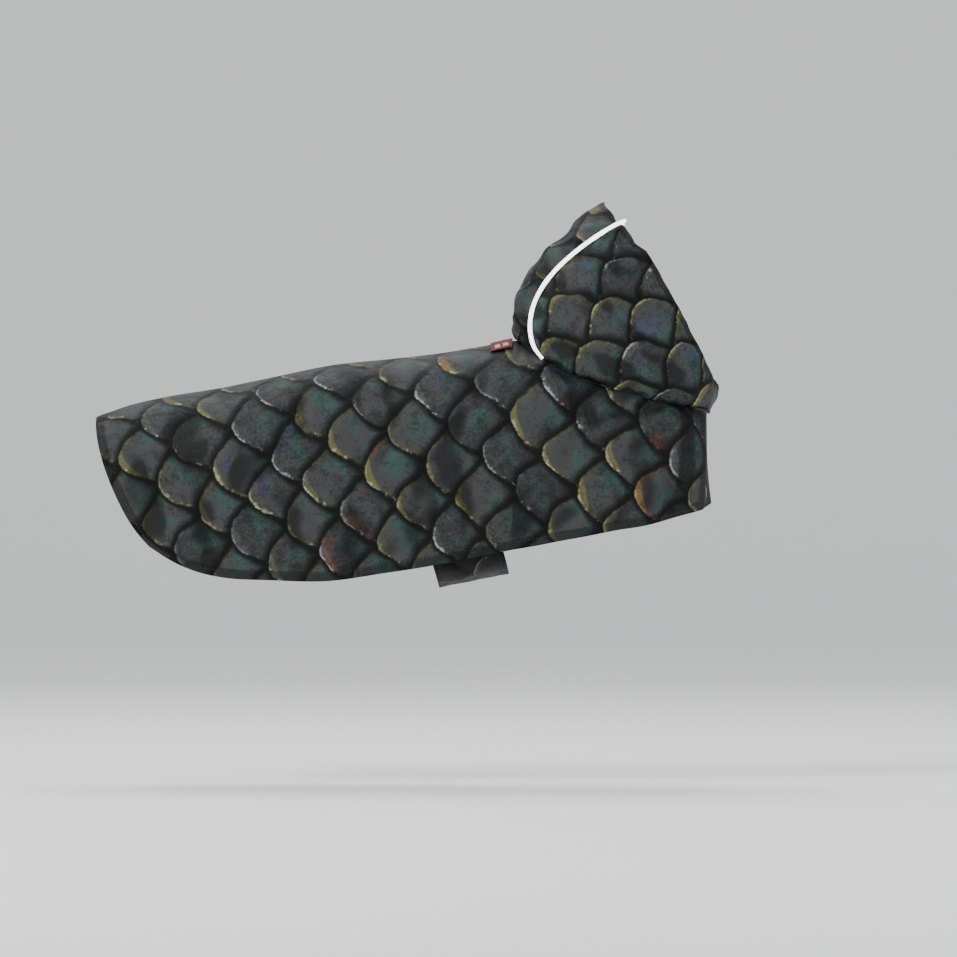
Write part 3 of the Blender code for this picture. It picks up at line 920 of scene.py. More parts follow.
        # Colour: slate, with teal, violet, olive and rust tints on some scales.
        colour = t.colour(light, (*self.deep, 1), (*self.bright, 1))
        teal = t.times(t.step(blotch, 0.44, 0.58), t.step(lead, -0.3, 0.05, 0.15, 1.0),
                       t.step(level, -0.6, 0.2, 0.3, 1.0))
        colour = t.colour(teal, colour, (0.74, 1.36, 1.24, 1), "MULTIPLY")
        violet = t.times(t.step(patch, 0.54, 0.68), t.step(chance.outputs[2], 0.76, 0.86))
        colour = t.colour(violet, colour, (1.08, 1.04, 1.5, 1), "MULTIPLY")
        warm = t.step(chance.outputs[0], 0.3, 0.5)
        olive = t.times(t.math("MAXIMUM", tip, t.step(from_rim, 10.0, 3.0, 0.0, 0.35)), warm)
        colour = t.colour(olive, colour, (1.5, 1.42, 0.6, 1), "MULTIPLY")
        colour = t.colour(t.times(tip, 0.55), colour, (1.9, 1.9, 1.8, 1), "MULTIPLY")
        rust = t.times(t.step(patch, 0.45, 0.36), t.step(chance.outputs[1], 0.8, 0.86),
                       t.step(from_rim, 14.0, 8.0))
        colour = t.colour(rust, colour, (1.7, 0.9, 0.84, 1), "MULTIPLY")
        warm_glint = [part * factor for part, factor in zip(self.glint, self.glint_warmth)]
        shine = t.colour(warm, (*self.glint, 1), (*warm_glint, 1))
        colour = t.colour(t.times(glint, 0.8), colour, shine)
        t.feed(end, {0: colour})
        return group


def weave_group() -> NodeTree:
    """Fine plain weave: cloth coordinates and a thread pitch in metres in, height out."""
    group, t, start, end = new_group(
        "fine_weave",
        {"Cloth": ("NodeSocketVector", None), "Pitch": ("NodeSocketFloat", 0.0005)},
        {"Height": "NodeSocketFloat"},
    )
    split = t.add("ShaderNodeSeparateXYZ", {0: start.outputs[0]})
    turn = t.math("DIVIDE", math.pi, start.outputs[1])
    warp = t.math("SINE", t.times(split.outputs[0], turn))
    weft = t.math("SINE", t.times(split.outputs[1], turn))
    cross = t.times(warp, weft)
    height = t.times_plus(t.math("ABSOLUTE", cross), 0.7, t.times(cross, 0.3))
    uneven = t.noise(start.outputs[0], 900.0, 1.0).outputs[0]
    t.feed(end, {0: t.times(height, t.math("ADD", uneven, 0.5))})
    return group


def creases_group() -> NodeTree:
    """Small soft creases of coated cloth: cloth coordinates and their size in, height out."""
    group, t, start, end = new_group(
        "small_creases",
        {"Cloth": ("NodeSocketVector", None), "Tightness": ("NodeSocketFloat", 60.0)},
        {"Height": "NodeSocketFloat"},
    )
    bent = t.noise(start.outputs[0], 14.0, 1.0).outputs["Color"]
    place = t.vector("MULTIPLY_ADD", bent, (0.03, 0.03, 0.0), start.outputs[0])
    sockets = {0: place, "Scale": start.outputs[1]}
    scaled = t.add("ShaderNodeVectorMath", sockets, operation="SCALE").outputs[0]
    wide = t.noise(scaled, 1.0, 2.0, 0.45).outputs[0]
    fold = t.math("ABSOLUTE", t.minus(wide, 0.5))
    sharp = t.step(fold, 0.0, 0.09)
    fine = t.noise(scaled, 3.1, 3.0, 0.5).outputs[0]
    t.feed(end, {0: t.times_plus(sharp, 0.45, t.math("ADD", wide, t.times(fine, 0.4)))})
    return group


@dataclass(frozen=True)
class Groups:
    """The node groups that the finishes share."""

    scales: NodeTree
    weave: NodeTree
    creases: NodeTree


def new_material(name: str) -> tuple[Material, Tree, Node]:
    """A material with its Tree and its Principled shader."""
    made = bpy.data.materials.new(name)
    made.use_nodes = True
    return made, Tree(made.node_tree), made.node_tree.nodes["Principled BSDF"]


@dataclass(frozen=True)
class PrintedCloth:
    """Coated polyester with the scale print on its face."""

    name: str
    seed: float
    # Below 1 darkens the whole print as painted shade.
    painted_light_level: float = 1.0
    roughness: float = 0.56
    print_scale: float = 1.0

    def material(self, groups: Groups) -> Material:
        """Builds the material."""
        made, t, shader = new_material(self.name)
        cloth = t.cut_map()
        printed = t.vector("MULTIPLY", cloth, (self.print_scale, self.print_scale, 1.0))
        tone = (self.painted_light_level,) * 3 + (1,)
        colour = t.colour(1.0, t.group(groups.scales, printed, self.seed), tone, "MULTIPLY")
        # Painted shade: darker in the troughs and along the seams, where the fold attribute is below 0.
        painted_fold_shade = t.step(t.attribute("fold"), 0.0, -1.0, 0.0, 0.8)
        colour = t.colour(painted_fold_shade, colour, (0.18, 0.18, 0.18, 1), "MULTIPLY")
        on_hem = t.step(t.attribute("hem"), 0.0, 1.0, 0.0, 0.75)
        colour = t.colour(on_hem, colour, (0.3, 0.3, 0.3, 1), "MULTIPLY")
        mottle = t.noise(cloth, 60.0, 3.0).outputs[0]
        rough = t.step(mottle, 0.3, 0.7, self.roughness - 0.07, self.roughness + 0.08)
        broad = t.bump(0.35, 0.0012, t.group(groups.creases, cloth, 55.0))
        fine = t.bump(0.3, 0.00012, t.group(groups.weave, cloth, 0.00045), broad)
        specular = {"Specular IOR Level": 0.11}
        t.feed(shader, {"Base Color": colour, "Roughness": rough, "Normal": fine} | specular)
        return made


@dataclass(frozen=True)
class ClothBack:
    """The cloth's plain dark inner face."""

    name: str = "cloth_back"
    roughness: float = 0.68

    def material(self, groups: Groups) -> Material:
        """Builds the material."""
        made, t, shader = new_material(self.name)
        cloth = t.cut_map()
        weave = t.group(groups.weave, cloth, 0.0007)
        mottle = t.noise(cloth, 85.0, 4.0, 0.6).outputs[0]
        colour = t.colour(t.step(mottle, 0.3, 0.7), (0.016, 0.017, 0.018, 1), (0.034, 0.035, 0.037, 1))
        colour = t.colour(t.times(weave, 0.35), colour, (0.06, 0.062, 0.065, 1))
        rough = t.step(mottle, 0.3, 0.7, self.roughness - 0.06, self.roughness + 0.06)
        broad = t.bump(0.3, 0.001, t.group(groups.creases, cloth, 48.0))
        fine = t.bump(0.4, 0.0002, weave, broad)
        specular = {"Specular IOR Level": 0.18}
        t.feed(shader, {"Base Color": colour, "Roughness": rough, "Normal": fine} | specular)
        return made


@dataclass(frozen=True)
class ReflectiveTape:
    """White reflective piping: a coat of fine glass beads, and painted light: a constant emission makes
    it shine white as in a flash.
    """

    name: str = "reflective_piping_finish"
    painted_glow: float = 3.6

    def material(self, groups: Groups) -> Material:
        """Builds the material."""
        made, t, shader = new_material(self.name)
        place = t.add("ShaderNodeTexCoord").outputs["Object"]
        beads = t.add("ShaderNodeTexVoronoi", {"Vector": place, "Scale": 3200.0}).outputs["Distance"]
        smudge = t.noise(place, 140.0, 3.0).outputs[0]
        rubs = t.noise(place, 620.0, 2.0, 0.6).outputs[0]
        colour = t.colour(t.step(smudge, 0.35, 0.75), (0.88, 0.89, 0.90, 1), (0.74, 0.75, 0.76, 1))
        colour = t.colour(t.step(rubs, 0.66, 0.78, 0.0, 0.5), colour, (0.55, 0.56, 0.57, 1))
        # Painted light: the emission makes the piping shine as retro-reflective tape does in a flash.
        t.feed(shader, {
            "Base Color": colour, "Emission Color": colour, "Emission Strength": self.painted_glow,
            "Roughness": t.step(smudge, 0.3, 0.7, 0.3, 0.45),
            "Normal": t.bump(0.25, 0.0001, beads), "Specular IOR Level": 0.6,
        })
        return made


@dataclass(frozen=True)
class LabelWeave:
    """Dark red woven label with a pair of plain pale bars near each end."""

    name: str = "label_weave"
    bar_start: float = 0.0205
    bar_end: float = 0.0275
    bar_split: float = 0.001
    bar_reach: float = 0.006
    bar_soft: float = 0.0004

    def material(self, groups: Groups) -> Material:
        """Builds the material."""
        made, t, shader = new_material(self.name)
        cloth = t.cut_map()
        split = t.add("ShaderNodeSeparateXYZ", {0: cloth})
        across = t.math("ABSOLUTE", split.outputs[1])
        along = t.math("ABSOLUTE", split.outputs[0])
        on_bars = t.times(
            t.step(across, self.bar_start, self.bar_start + self.bar_soft),
            t.step(across, self.bar_end, self.bar_end - self.bar_soft),
            t.step(along, self.bar_split, self.bar_split + self.bar_soft),
            t.step(along, self.bar_reach, self.bar_reach - self.bar_soft),
        )
        weave = t.group(groups.weave, cloth, 0.0004)
        uneven = t.noise(cloth, 700.0, 2.0).outputs[0]
        red = t.colour(t.step(uneven, 0.3, 0.7), (0.085, 0.006, 0.010, 1), (0.15, 0.012, 0.019, 1))
        pale = t.colour(t.step(uneven, 0.3, 0.7), (0.34, 0.27, 0.27, 1), (0.5, 0.42, 0.41, 1))
        t.feed(shader, {
            "Base Color": t.colour(on_bars, red, pale), "Roughness": t.step(weave, 0.0, 1.0, 0.7, 0.5),
            "Normal": t.bump(0.5, 0.00015, weave), "Specular IOR Level": 0.2,
        })
        return made


@dataclass(frozen=True)
class SewingThread:
    """Twisted polyester thread."""

    name: str
    light: tuple[float, float, float]
    dark: tuple[float, float, float]

    def material(self, groups: Groups) -> Material:
        """Builds the material."""
        made, t, shader = new_material(self.name)
        place = t.add("ShaderNodeTexCoord").outputs["Object"]
        twist = t.add("ShaderNodeTexWave", {"Vector": place, "Scale": 900.0, "Distortion": 1.5},
                      bands_direction="DIAGONAL").outputs["Fac"]
        wear = t.noise(place, 260.0, 2.0).outputs[0]
        colour = t.colour(twist, (*self.dark, 1), (*self.light, 1))
        colour = t.colour(t.step(wear, 0.45, 0.75, 0.0, 0.5), colour, (*self.dark, 1))
        rough = t.step(wear, 0.3, 0.7, 0.5, 0.7)
        t.feed(shader, {"Base Color": colour, "Roughness": rough, "Normal": t.bump(0.4, 0.0001, twist)})
        return made


@dataclass(frozen=True)
class StudioPaper:
    """The pale floor and backdrop."""

    name: str = "studio_paper"

    def material(self, groups: Groups) -> Material:
        """Builds the material."""
        made, t, shader = new_material(self.name)
        place = t.add("ShaderNodeTexCoord").outputs["Object"]
        mottle = t.noise(place, 3.0, 3.0).outputs[0]
        colour = t.colour(mottle, (0.90, 0.90, 0.89, 1), (0.93, 0.93, 0.92, 1))
        t.feed(shader, {"Base Color": colour, "Roughness": 0.9})
        return made


# ------------------------------------------------------------------ the coat's pieces


class Slot(Enum):
    """The record's material slots."""

    CLOTH = "printed_cloth"
    PIPING = "reflective_piping"
    LABEL = "label_cloth"


@dataclass(frozen=True)
class Hem:
    """A narrow turned edge with one row of stitching."""

    width: float = 8.0
    rise: float = 0.45
    stitch_at: float = 6.6
    stitch_dent: float = 0.4
    pucker: float = 0.35
    seed: int = 5

    def height(self, distance: np.ndarray, along: np.ndarray) -> np.ndarray:
        """How far the hem moves the cloth outwards, from the distance to its edge and along it."""
        raised = self.rise * between(distance, self.width + 1.2, self.width - 0.6)
        dent = self.stitch_dent * bell(distance - self.stitch_at, 0.9)
        waves = Ripple(self.seed, 8.0, 17.0, 8).at(along, distance * 0.12)
        gather = self.pucker * waves * bell(distance - self.stitch_at, 4.5)
        return raised - dent + gather

    def mask(self, distance: np.ndarray) -> np.ndarray:
        """1 on the turned edge and 0 inside it."""
        return between(distance, self.width + 0.8, self.width - 0.8)


@dataclass(frozen=True)
class Seam:
    """A joining seam, where both edges dip and pucker a little."""

    dip: float = 0.9
    dip_width: float = 2.6
    pucker: float = 0.45
    reach: float = 9.0
    seed: int = 8

    def height(self, distance: np.ndarray, along: np.ndarray) -> np.ndarray:
        """How far the seam moves the cloth outwards."""
        dip = -self.dip * bell(distance, self.dip_width)
        waves = Ripple(self.seed, 9.0, 20.0, 10).at(along, distance * 0.25)
        return dip + self.pucker * waves * bell(distance, self.reach) * between(distance, 0.0, 2.0)


@dataclass
class Stitching:
    """A row of short stitches sunk into the cloth."""

    name: str
    length: float = 2.7
    gap: float = 0.9
    thickness: float = 0.46
    taper: float = 0.45
    end_drop: float = 0.75
    rise: float = 0.12
    skew: float = 0.035

    def one_stitch(self) -> tuple[np.ndarray, list[list[int]]]:
        """Models one stitch: a short round thread, pulled down at both ends.

        Returns:
            Its points in mm, along X, and its faces.
        """
        bpy.ops.object.select_all(action="DESELECT")
        radius, depth = self.thickness / 2 * MM, self.length * MM
        bpy.ops.mesh.primitive_cylinder_add(
            vertices=6, radius=radius, depth=depth, rotation=(0, math.pi / 2, 0)
        )
        made = bpy.context.active_object
        bpy.ops.object.transform_apply(location=True, rotation=True, scale=True)
        bpy.ops.object.mode_set(mode="EDIT")
        for place in (-depth / 4, depth / 4):
            bpy.ops.mesh.select_all(action="SELECT")
            bpy.ops.mesh.bisect(plane_co=(place, 0, 0), plane_no=(1, 0, 0))
        bpy.ops.object.mode_set(mode="OBJECT")
        points = np.array([v.co for v in made.data.vertices]) / MM
        share = np.abs(points[:, 0]) / (self.length / 2)
        points[:, 1:] *= (1 - self.taper * share**3)[:, None]
        points[:, 2] -= self.thickness * self.end_drop * share**2 - self.thickness * self.rise
        faces = [list(p.vertices) for p in made.data.polygons]
        bpy.data.objects.remove(made)
        return points, faces

    def build(self, lines: Sequence[np.ndarray], ground: BVHTree) -> Object:
        """Sets the stitches along lines on a finished piece.

        Args:
            lines: rows of points in mm near the cloth's outer face.
            ground: the piece's faces.

        Returns:
            All stitches as one mesh.
        """
        shape, shape_faces = self.one_stitch()
        dice = np.random.default_rng(len(self.name))
        points: list[np.ndarray] = []
        faces: list[list[int]] = []
        for line in lines:
            row = Line(line, 0.5)
            step = self.length + self.gap
            for n in range(int(row.length / step)):
                middle = (n + 0.5) * step
                hit, normal, _, _ = ground.find_nearest(Vector(row.point_at(middle) * MM))
                if hit is None:
                    continue
                up = np.array(normal)
                along = row.point_at(middle + 1) - row.point_at(middle - 1)
                along = along - up * float(along @ up)
                along = along / np.linalg.norm(along)
                along = along + np.cross(up, along) * dice.normal(0, self.skew)
                along = along / np.linalg.norm(along)
                beside = np.cross(up, along)
                placed = shape @ np.stack([along, beside, up]) + np.array(hit) / MM
                start = sum(len(p) for p in points)
                points.append(placed)
                faces += [[start + i for i in face] for face in shape_faces]
        return mesh_piece(self.name, np.concatenate(points), faces)


def dress(piece: Object, materials: Sequence[Material]) -> None:
    """Gives a piece its materials, and lets it ride on the coat.

    Args:
        piece: the piece.
        materials: its materials, in the order of its faces' numbers.
    """
    slots = piece.data.materials
    for number, material in enumerate(materials):
        if number < len(slots):
            slots[number] = material
        else:
            slots.append(material)
    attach(piece, "root")


@dataclass
class BodyPanel:
    """Back and both sides in one piece, open below, with its fronts lapped on the chest."""

    form: CoatForm
    name: str = "coat_body"
    wall: float = 1.1
    coarse: float = 3.6
    fine: float = 1.3
    hem_zone: float = 12.0
    seam_zone: float = 6.0
    print_tilt: float = 8.2
    print_shift: tuple[float, float] = (0.011, 0.006)
    wander: float = 4.0
    large_folds: float = 0.85
    small_folds: float = 0.3
    deep_fold: float = 1.6
    calm_edge: float = 14.0
    calm_share: float = 0.8
    chest_x: tuple[float, float] = (150.0, 175.0)
    chest_side_y: tuple[float, float] = (30.0, 52.0)
    chest_flat_hem: float = 0.7
    chest_flat_seam: float = 0.9
    seam_shade: float = 10.0
    hem: Hem = Hem()
    neck_seam: Seam = Seam()
    hood_dip: float = 1.2
    hood_dip_at: float = 6.5
    hood_dip_width: float = 4.5
    cad_creases: tuple[Crease, ...] = (
        Crease("under_hood", 58.0, -26.0, 138.0, -62.0, 9.0, -2.4, 0.0, 0.0),
        Crease("shoulder", 34.0, -22.0, 8.0, -118.0, 13.0, -2.0, 0.0, 0.0),
        Crease("chest", 150.0, -66.0, 160.0, -128.0, 11.0, -2.2, 0.0, 0.0),
        Crease("ribs", -62.0, -60.0, -30.0, -158.0, 17.0, -1.8, 0.0, 0.0),
        Crease("flank", -152.0, -92.0, -132.0, -196.0, 18.0, -3.0, 0.0, 0.0),
        Crease("hip", -214.0, -88.0, -196.0, -194.0, 20.0, 2.8, 0.0, 0.0),
        Crease("rump", -282.0, -92.0, -252.0, -172.0, 16.0, -2.6, 0.0, 0.0),
    )
    creases: tuple[Crease, ...] = (
        Crease("strap_front", 18.0, -172.0, 44.0, -112.0, 7.0, -1.3, 3.0),
        Crease("strap_middle", -12.0, -178.0, -20.0, -104.0, 9.0, -1.2, -4.0),
        Crease("strap_rear", -38.0, -182.0, -76.0, -128.0, 7.5, -1.4, 4.0),
        Crease("under_hood_drag", 62.0, -34.0, 112.0, -92.0, 7.0, -1.1, 6.0),
        Crease("neck_pull", 96.0, -48.0, 150.0, -58.0, 5.0, -1.3, -2.0),
        Crease("chest_fold", 128.0, -70.0, 138.0, -146.0, 8.0, -1.1, 3.0),
        Crease("shoulder_drop", 66.0, -70.0, 56.0, -150.0, 12.0, 1.2, -4.0),
        Crease("withers_side", -4.0, -26.0, -46.0, -74.0, 9.0, -0.8, 5.0),
        Crease("rib_fold", -96.0, -52.0, -88.0, -176.0, 10.0, -1.1, 6.0),
        Crease("loin_drop", -124.0, -70.0, -118.0, -190.0, 12.0, 1.1, -5.0),
        Crease("flank_fold", -176.0, -76.0, -162.0, -190.0, 9.0, -1.2, 5.0),
        Crease("hip_fold", -238.0, -70.0, -226.0, -184.0, 10.0, -1.3, -5.0),
        Crease("tail_fold", -300.0, -78.0, -262.0, -150.0, 9.0, -1.1, 4.0),
    )

    def rows(self, last: float) -> np.ndarray:
        """Places of the mesh's rows up to a front edge."""
        back = self.form.place_at_ridge(self.form.back[-1].top_x)
        to_nape = spaced(back, self.coarse, self.fine, self.hem_zone, 0.0) * back
        rest = last - back
        to_edge = spaced(rest, self.coarse, self.fine, 0.0, self.hem_zone) * rest + back
        return np.concatenate([to_nape[:-1], to_edge])

    def folds(self, points: np.ndarray, seed: int, top: np.ndarray) -> np.ndarray:
        """How far creases and unevenness move one side outwards.

        Args:
            points: the side's points in mm.
            seed: makes the two sides differ.
            top: distance from the ridge or neck seam, mm.

        Returns:
            The move in mm.
        """
        x, z = points[..., 0], points[..., 2]
        wander = Ripple(seed, 60.0, 140.0, 10)
        x = x + self.wander * wander.at(x, z)
        z = z + self.wander * wander.at(z, x)
        large = self.large_folds * Ripple(seed + 1, 34.0, 90.0).at(x, z * 0.55)
        small = self.small_folds * Ripple(seed + 2, 13.0, 30.0).at(x, z * 0.7)
        placed = crease_height(self.creases, x, z)
        return (placed + large * between(top, 4.0, 40.0)) + small * between(top, 1.0, 14.0)

    def side_grid(self, left: bool, at: np.ndarray, shares: np.ndarray) -> tuple[np.ndarray, np.ndarray]:
        """One side's points and their moves along the normal.

        Args:
            left: for the left side, which passes under the right on the chest.
            at: places of the rows.
            shares: shares of the columns.

        Returns:
            Points of shape (rows, columns, 3), and moves of shape (rows, columns).
        """
        grid = self.form.left_side(at, shares) if left else self.form.side(at, shares)
        top = shares[None, :] * self.form.side_length + 0 * at[:, None]
        flat = mirrored(grid) if left else grid
        sideways = crease_height(self.cad_creases, flat[..., 0], flat[..., 2])
        sideways = sideways * between(np.abs(grid[..., 1]), 0.0, 40.0) * np.clip(top / 30.0, 0, 1)
        grid[..., 1] += np.sign(grid[..., 1]) * sideways
        return grid, self.folds(flat, 31 if left else 11, top)

    def build(self) -> Object:
        """Builds the sheet, its hem, seam, creases and wall."""
        form = self.form
        shares = spaced(form.side_length, self.coarse, self.fine, self.seam_zone, self.hem_zone)
        right_rows = self.rows(form.place_of(form.right_edge_angle))
        right, right_move = self.side_grid(False, right_rows, shares)
        left, left_move = self.side_grid(True, self.left_rows(), shares)
        back_rows = int(np.sum(right_rows <= form.place_at_ridge(form.back[-1].top_x) + 1e-6))
        count = right.shape[0] * right.shape[1]
        right_index = np.arange(count).reshape(right.shape[:2])
        fresh = np.ones(left.shape[:2], bool)
        fresh[:back_rows, 0] = False
        left_index = np.zeros(left.shape[:2], int)
        left_index[fresh] = count + np.arange(int(fresh.sum()))
        left_index[:back_rows, 0] = right_index[:back_rows, 0]
        points = np.concatenate([right.reshape(-1, 3), left[fresh]])
        move = np.concatenate([right_move.ravel(), left_move[fresh]])
        faces = grid_faces(right_index, True) + grid_faces(left_index, False)
        piece = mesh_piece(self.name, points, faces)
        tilt = math.radians(self.print_tilt)
        lay_flat(piece, (0, -1, 0), (-math.cos(tilt), 0.0, -math.sin(tilt)), self.print_shift)

        from_edge, along_edge = self.from_open_edges(right, left, points)
        seam = Line(np.concatenate([right[back_rows:, 0][::-1], left[back_rows:, 0]]))
        from_seam, along_seam = seam.measure(points)
        calm = self.calm_share
        move = move * between(from_edge, 0.0, self.calm_edge) * calm + move * (1 - calm)
        on_chest = between(points[:, 0], *self.chest_x)
        at_side = between(np.abs(points[:, 1]), *self.chest_side_y)
        move = move * (1 - on_chest * (1 - at_side))
        hem = self.hem.height(from_edge, along_edge)
        under_hood = self.hood_dip * bell(from_seam - self.hood_dip_at, self.hood_dip_width)
        at_seam = self.neck_seam.height(from_seam, along_seam) - under_hood
        total = move + hem * (1 - self.chest_flat_hem * on_chest)
        total = total + at_seam * (1 - self.chest_flat_seam * on_chest)
        # Painted shade: the fold attribute darkens the troughs and a band along the neck seam under the
        # hood.
        fold = np.clip(move / self.deep_fold, -1, 1) - bell(from_seam, self.seam_shade)
        finish_sheet(piece, pushed_out(piece, points, total), self.hem.mask(from_edge), fold, self.wall)
        return piece

    def left_rows(self) -> np.ndarray:
        """Places of the left side's rows, which go on past the middle of the chest."""
        form = self.form
        return self.rows(2 * form.place_of(180.0) - form.place_of(360.0 - form.left_edge_angle))

    @staticmethod
    def from_open_edges(
        right: np.ndarray, left: np.ndarray, points: np.ndarray
    ) -> tuple[np.ndarray, np.ndarray]:
        """Distance to the nearest open edge, and length along it, for each point.

        Args:
            right: the right side's grid in mm.
            left: the left side's grid in mm.
            points: the panel's points in mm.

        Returns:
            The distances and the lengths in mm.
        """
        hem = Line(np.concatenate([right[::-1][:, -1], right[0, ::-1], left[0, 1:], left[:, -1]]))
        distance, along = hem.measure(points)
        for front in (Line(right[-1]), Line(left[-1])):
            from_front, along_front = front.measure(points)
            nearer = from_front < distance
            distance = np.where(nearer, from_front, distance)
            along = np.where(nearer, along_front + hem.length, along)
        return distance, along

    def stitch_lines(self) -> list[np.ndarray]:
        """Rows of points for the stitching, a little inside each open edge."""
        form = self.form
        inset = self.hem.stitch_at
        share = 1 - inset / form.side_length
        end_right = form.place_of(form.right_edge_angle) - inset
        end_left = self.left_rows()[-1] - inset
        down = np.linspace(0.0, share, 60)
        right = np.concatenate([
            form.side(np.array([inset]), down)[0],
            form.side(np.linspace(inset, end_right, 240), np.array([share - 0.004, share]))[:, 1],
            form.side(np.array([end_right]), down[::-1])[0][:-3],
        ])
        left = np.concatenate([
            form.left_side(np.array([inset]), down)[0],
            form.left_side(np.linspace(inset, end_left, 240), np.array([share - 0.004, share]))[:, 1],
        ])
        return [right, left]


class HoodPart(Enum):
    """The three cloth pieces of the hood."""

    GUSSET = "hood_gusset"
    RIGHT = "hood_side_right"
    LEFT = "hood_side_left"


@dataclass
class HoodPanel:
    """One cloth piece of the hood."""

    form: CoatForm
    part: HoodPart
    wall: float = 1.0
    step: float = 3.0
    fine: float = 1.2
    seam_gap: float = 0.5
    side_gap: float = 0.4
    allowance: tuple[tuple[float, float], ...] = ((4.0, 3.4), (2.2, 3.0), (0.7, 2.6))
    side_allowance: tuple[tuple[float, float], ...] = ((0.4, 1.2), (1.6, 1.9), (3.2, 2.0))
    opening_lean: float = 0.55
    opening_zone: float = 26.0
    gusset_rise: float = 150.0
    side_rise: float = 165.0
    gusset_folds: float = 1.0
    side_folds: float = 0.6
    side_wander: float = 3.0
    seam_shade: float = 4.0
    seam_shade_depth: float = 0.8
    gusset_print_shift: tuple[float, float] = (0.004, 0.012)
    side_print_shift: tuple[float, float] = (-0.0108, -0.0069)
    opening_line: tuple[tuple[float, float], ...] = (
        (-31.0, 0.0), (-15.0, -0.8), (7.3, -2.2), (45.8, -1.4), (60.0, -0.2), (72.0, 1.0), (80.0, 2.6),
        (88.0, -2.0), (96.6, -1.0), (103.0, 0.3), (107.0, -2.8), (112.0, -0.6), (122.6, 0.0),
    )
    opening_ripple: float = 0.4
    small_folds: float = 0.22
    deep_fold: float = 1.6
    edge: Hem = Hem(width=4.6, rise=0.5, stitch_at=3.6, stitch_dent=0.3, pucker=0.3, seed=21)
    seam: Seam = Seam(dip=0.8, dip_width=2.4, pucker=0.5, reach=8.0, seed=27)
    side_creases: tuple[Crease, ...] = (
        Crease("above_seam", 62.0, -2.0, 150.0, -34.0, 6.5, -1.6, 5.0),
        Crease("nape_fold", 44.0, 14.0, 78.0, 8.0, 5.5, -1.4, -3.0),
        Crease("cheek", 96.0, 40.0, 150.0, -10.0, 9.0, -1.2, 6.0),
        Crease("jaw", 128.0, 6.0, 180.0, -34.0, 7.0, -1.5, -5.0),
        Crease("temple", 76.0, 62.0, 124.0, 40.0, 8.0, 1.2, 5.0),
        Crease("crown", 94.0, 92.0, 126.0, 66.0, 7.0, -1.2, -4.0),
        Crease("peak_fold", 104.0, 112.0, 118.0, 92.0, 4.5, 1.3, 2.0),
    )
    gusset_creases: tuple[Crease, ...] = (
        Crease("nape_low", -38.0, 16.0, 34.0, 20.0, 5.0, -1.5, 3.0),
        Crease("nape_middle", -30.0, 40.0, 40.0, 34.0, 7.0, -1.3, -4.0),
        Crease("crown_dip", -40.0, 78.0, 24.0, 84.0, 9.0, -1.2, 5.0),
        Crease("peak_dip", -20.0, 116.0, 36.0, 108.0, 7.0, -1.4, -3.0),
    )

    def angles(self) -> tuple[float, float]:
        """The panel's first and last angle, a little inside its seams."""
        seam = math.radians(self.form.piped_seam_angle)
        turn = 0.01
        probe = self.form.hood(np.array([seam, seam + turn]), np.array([0.5]))
        gap = self.side_gap * turn / float(np.linalg.norm(probe[1, 0] - probe[0, 0]))
        if self.part is HoodPart.GUSSET:
            return -seam + gap, seam - gap
        return seam + gap, math.pi - 0.006

    def with_side_allowances(self, angle: np.ndarray) -> tuple[np.ndarray, np.ndarray]:
        """Adds the seam allowances that lie behind the neighbouring panel.

        Args:
            angle: the panel's angles.

        Returns:
            All angles, and how far inwards each one's row lies in mm.
        """
        sink = np.zeros(len(angle))
        reach, depth = np.array(self.side_allowance).T
        if self.part is not HoodPart.GUSSET:
            angle = np.concatenate([angle[0] - (angle[1] - angle[0]) * reach[::-1], angle])
            sink = np.concatenate([depth[::-1], sink])
        if self.part is HoodPart.RIGHT:
            angle = np.concatenate([angle, angle[-1] + (angle[-1] - angle[-2]) * reach])
            sink = np.concatenate([sink, depth])
        return angle, sink

    def tucked_rows(self, angle: np.ndarray, sink: np.ndarray) -> np.ndarray:
        """The allowance of the neck seam, which lies behind the body panel's upper edge.

        Args:
            angle: the panel's angles.
            sink: how far inwards each angle's row lies in mm.

        Returns:
            Points in mm, from the lowest row up, shape (angles, rows, 3).
        """
        form = self.form
        round_neck = np.where(angle > math.pi, math.tau - angle, np.abs(angle))
        places = np.array([form.place_of(math.degrees(a)) for a in round_neck])
        places = np.minimum(places, form.place_of(180.0) - THROAT_MARGIN)
        shares = np.array([down / form.side_length for down, _ in self.allowance])[::-1]
        points, normals = form.side_and_normals(places, shares)
        start, end = math.radians(form.lap_start_angle), math.pi
        lapped = form.lap_depth * ease((round_neck - start) / (end - start) * form.lap_ramp)
        depth = np.array([d for _, d in self.allowance])[::-1] + (lapped + sink)[:, None]
        points = points - normals * depth[:, :, None]
        on_left = (angle < 0) | (angle > math.pi)
        return np.where(on_left[:, None, None], mirrored(points), points)[:, ::-1]

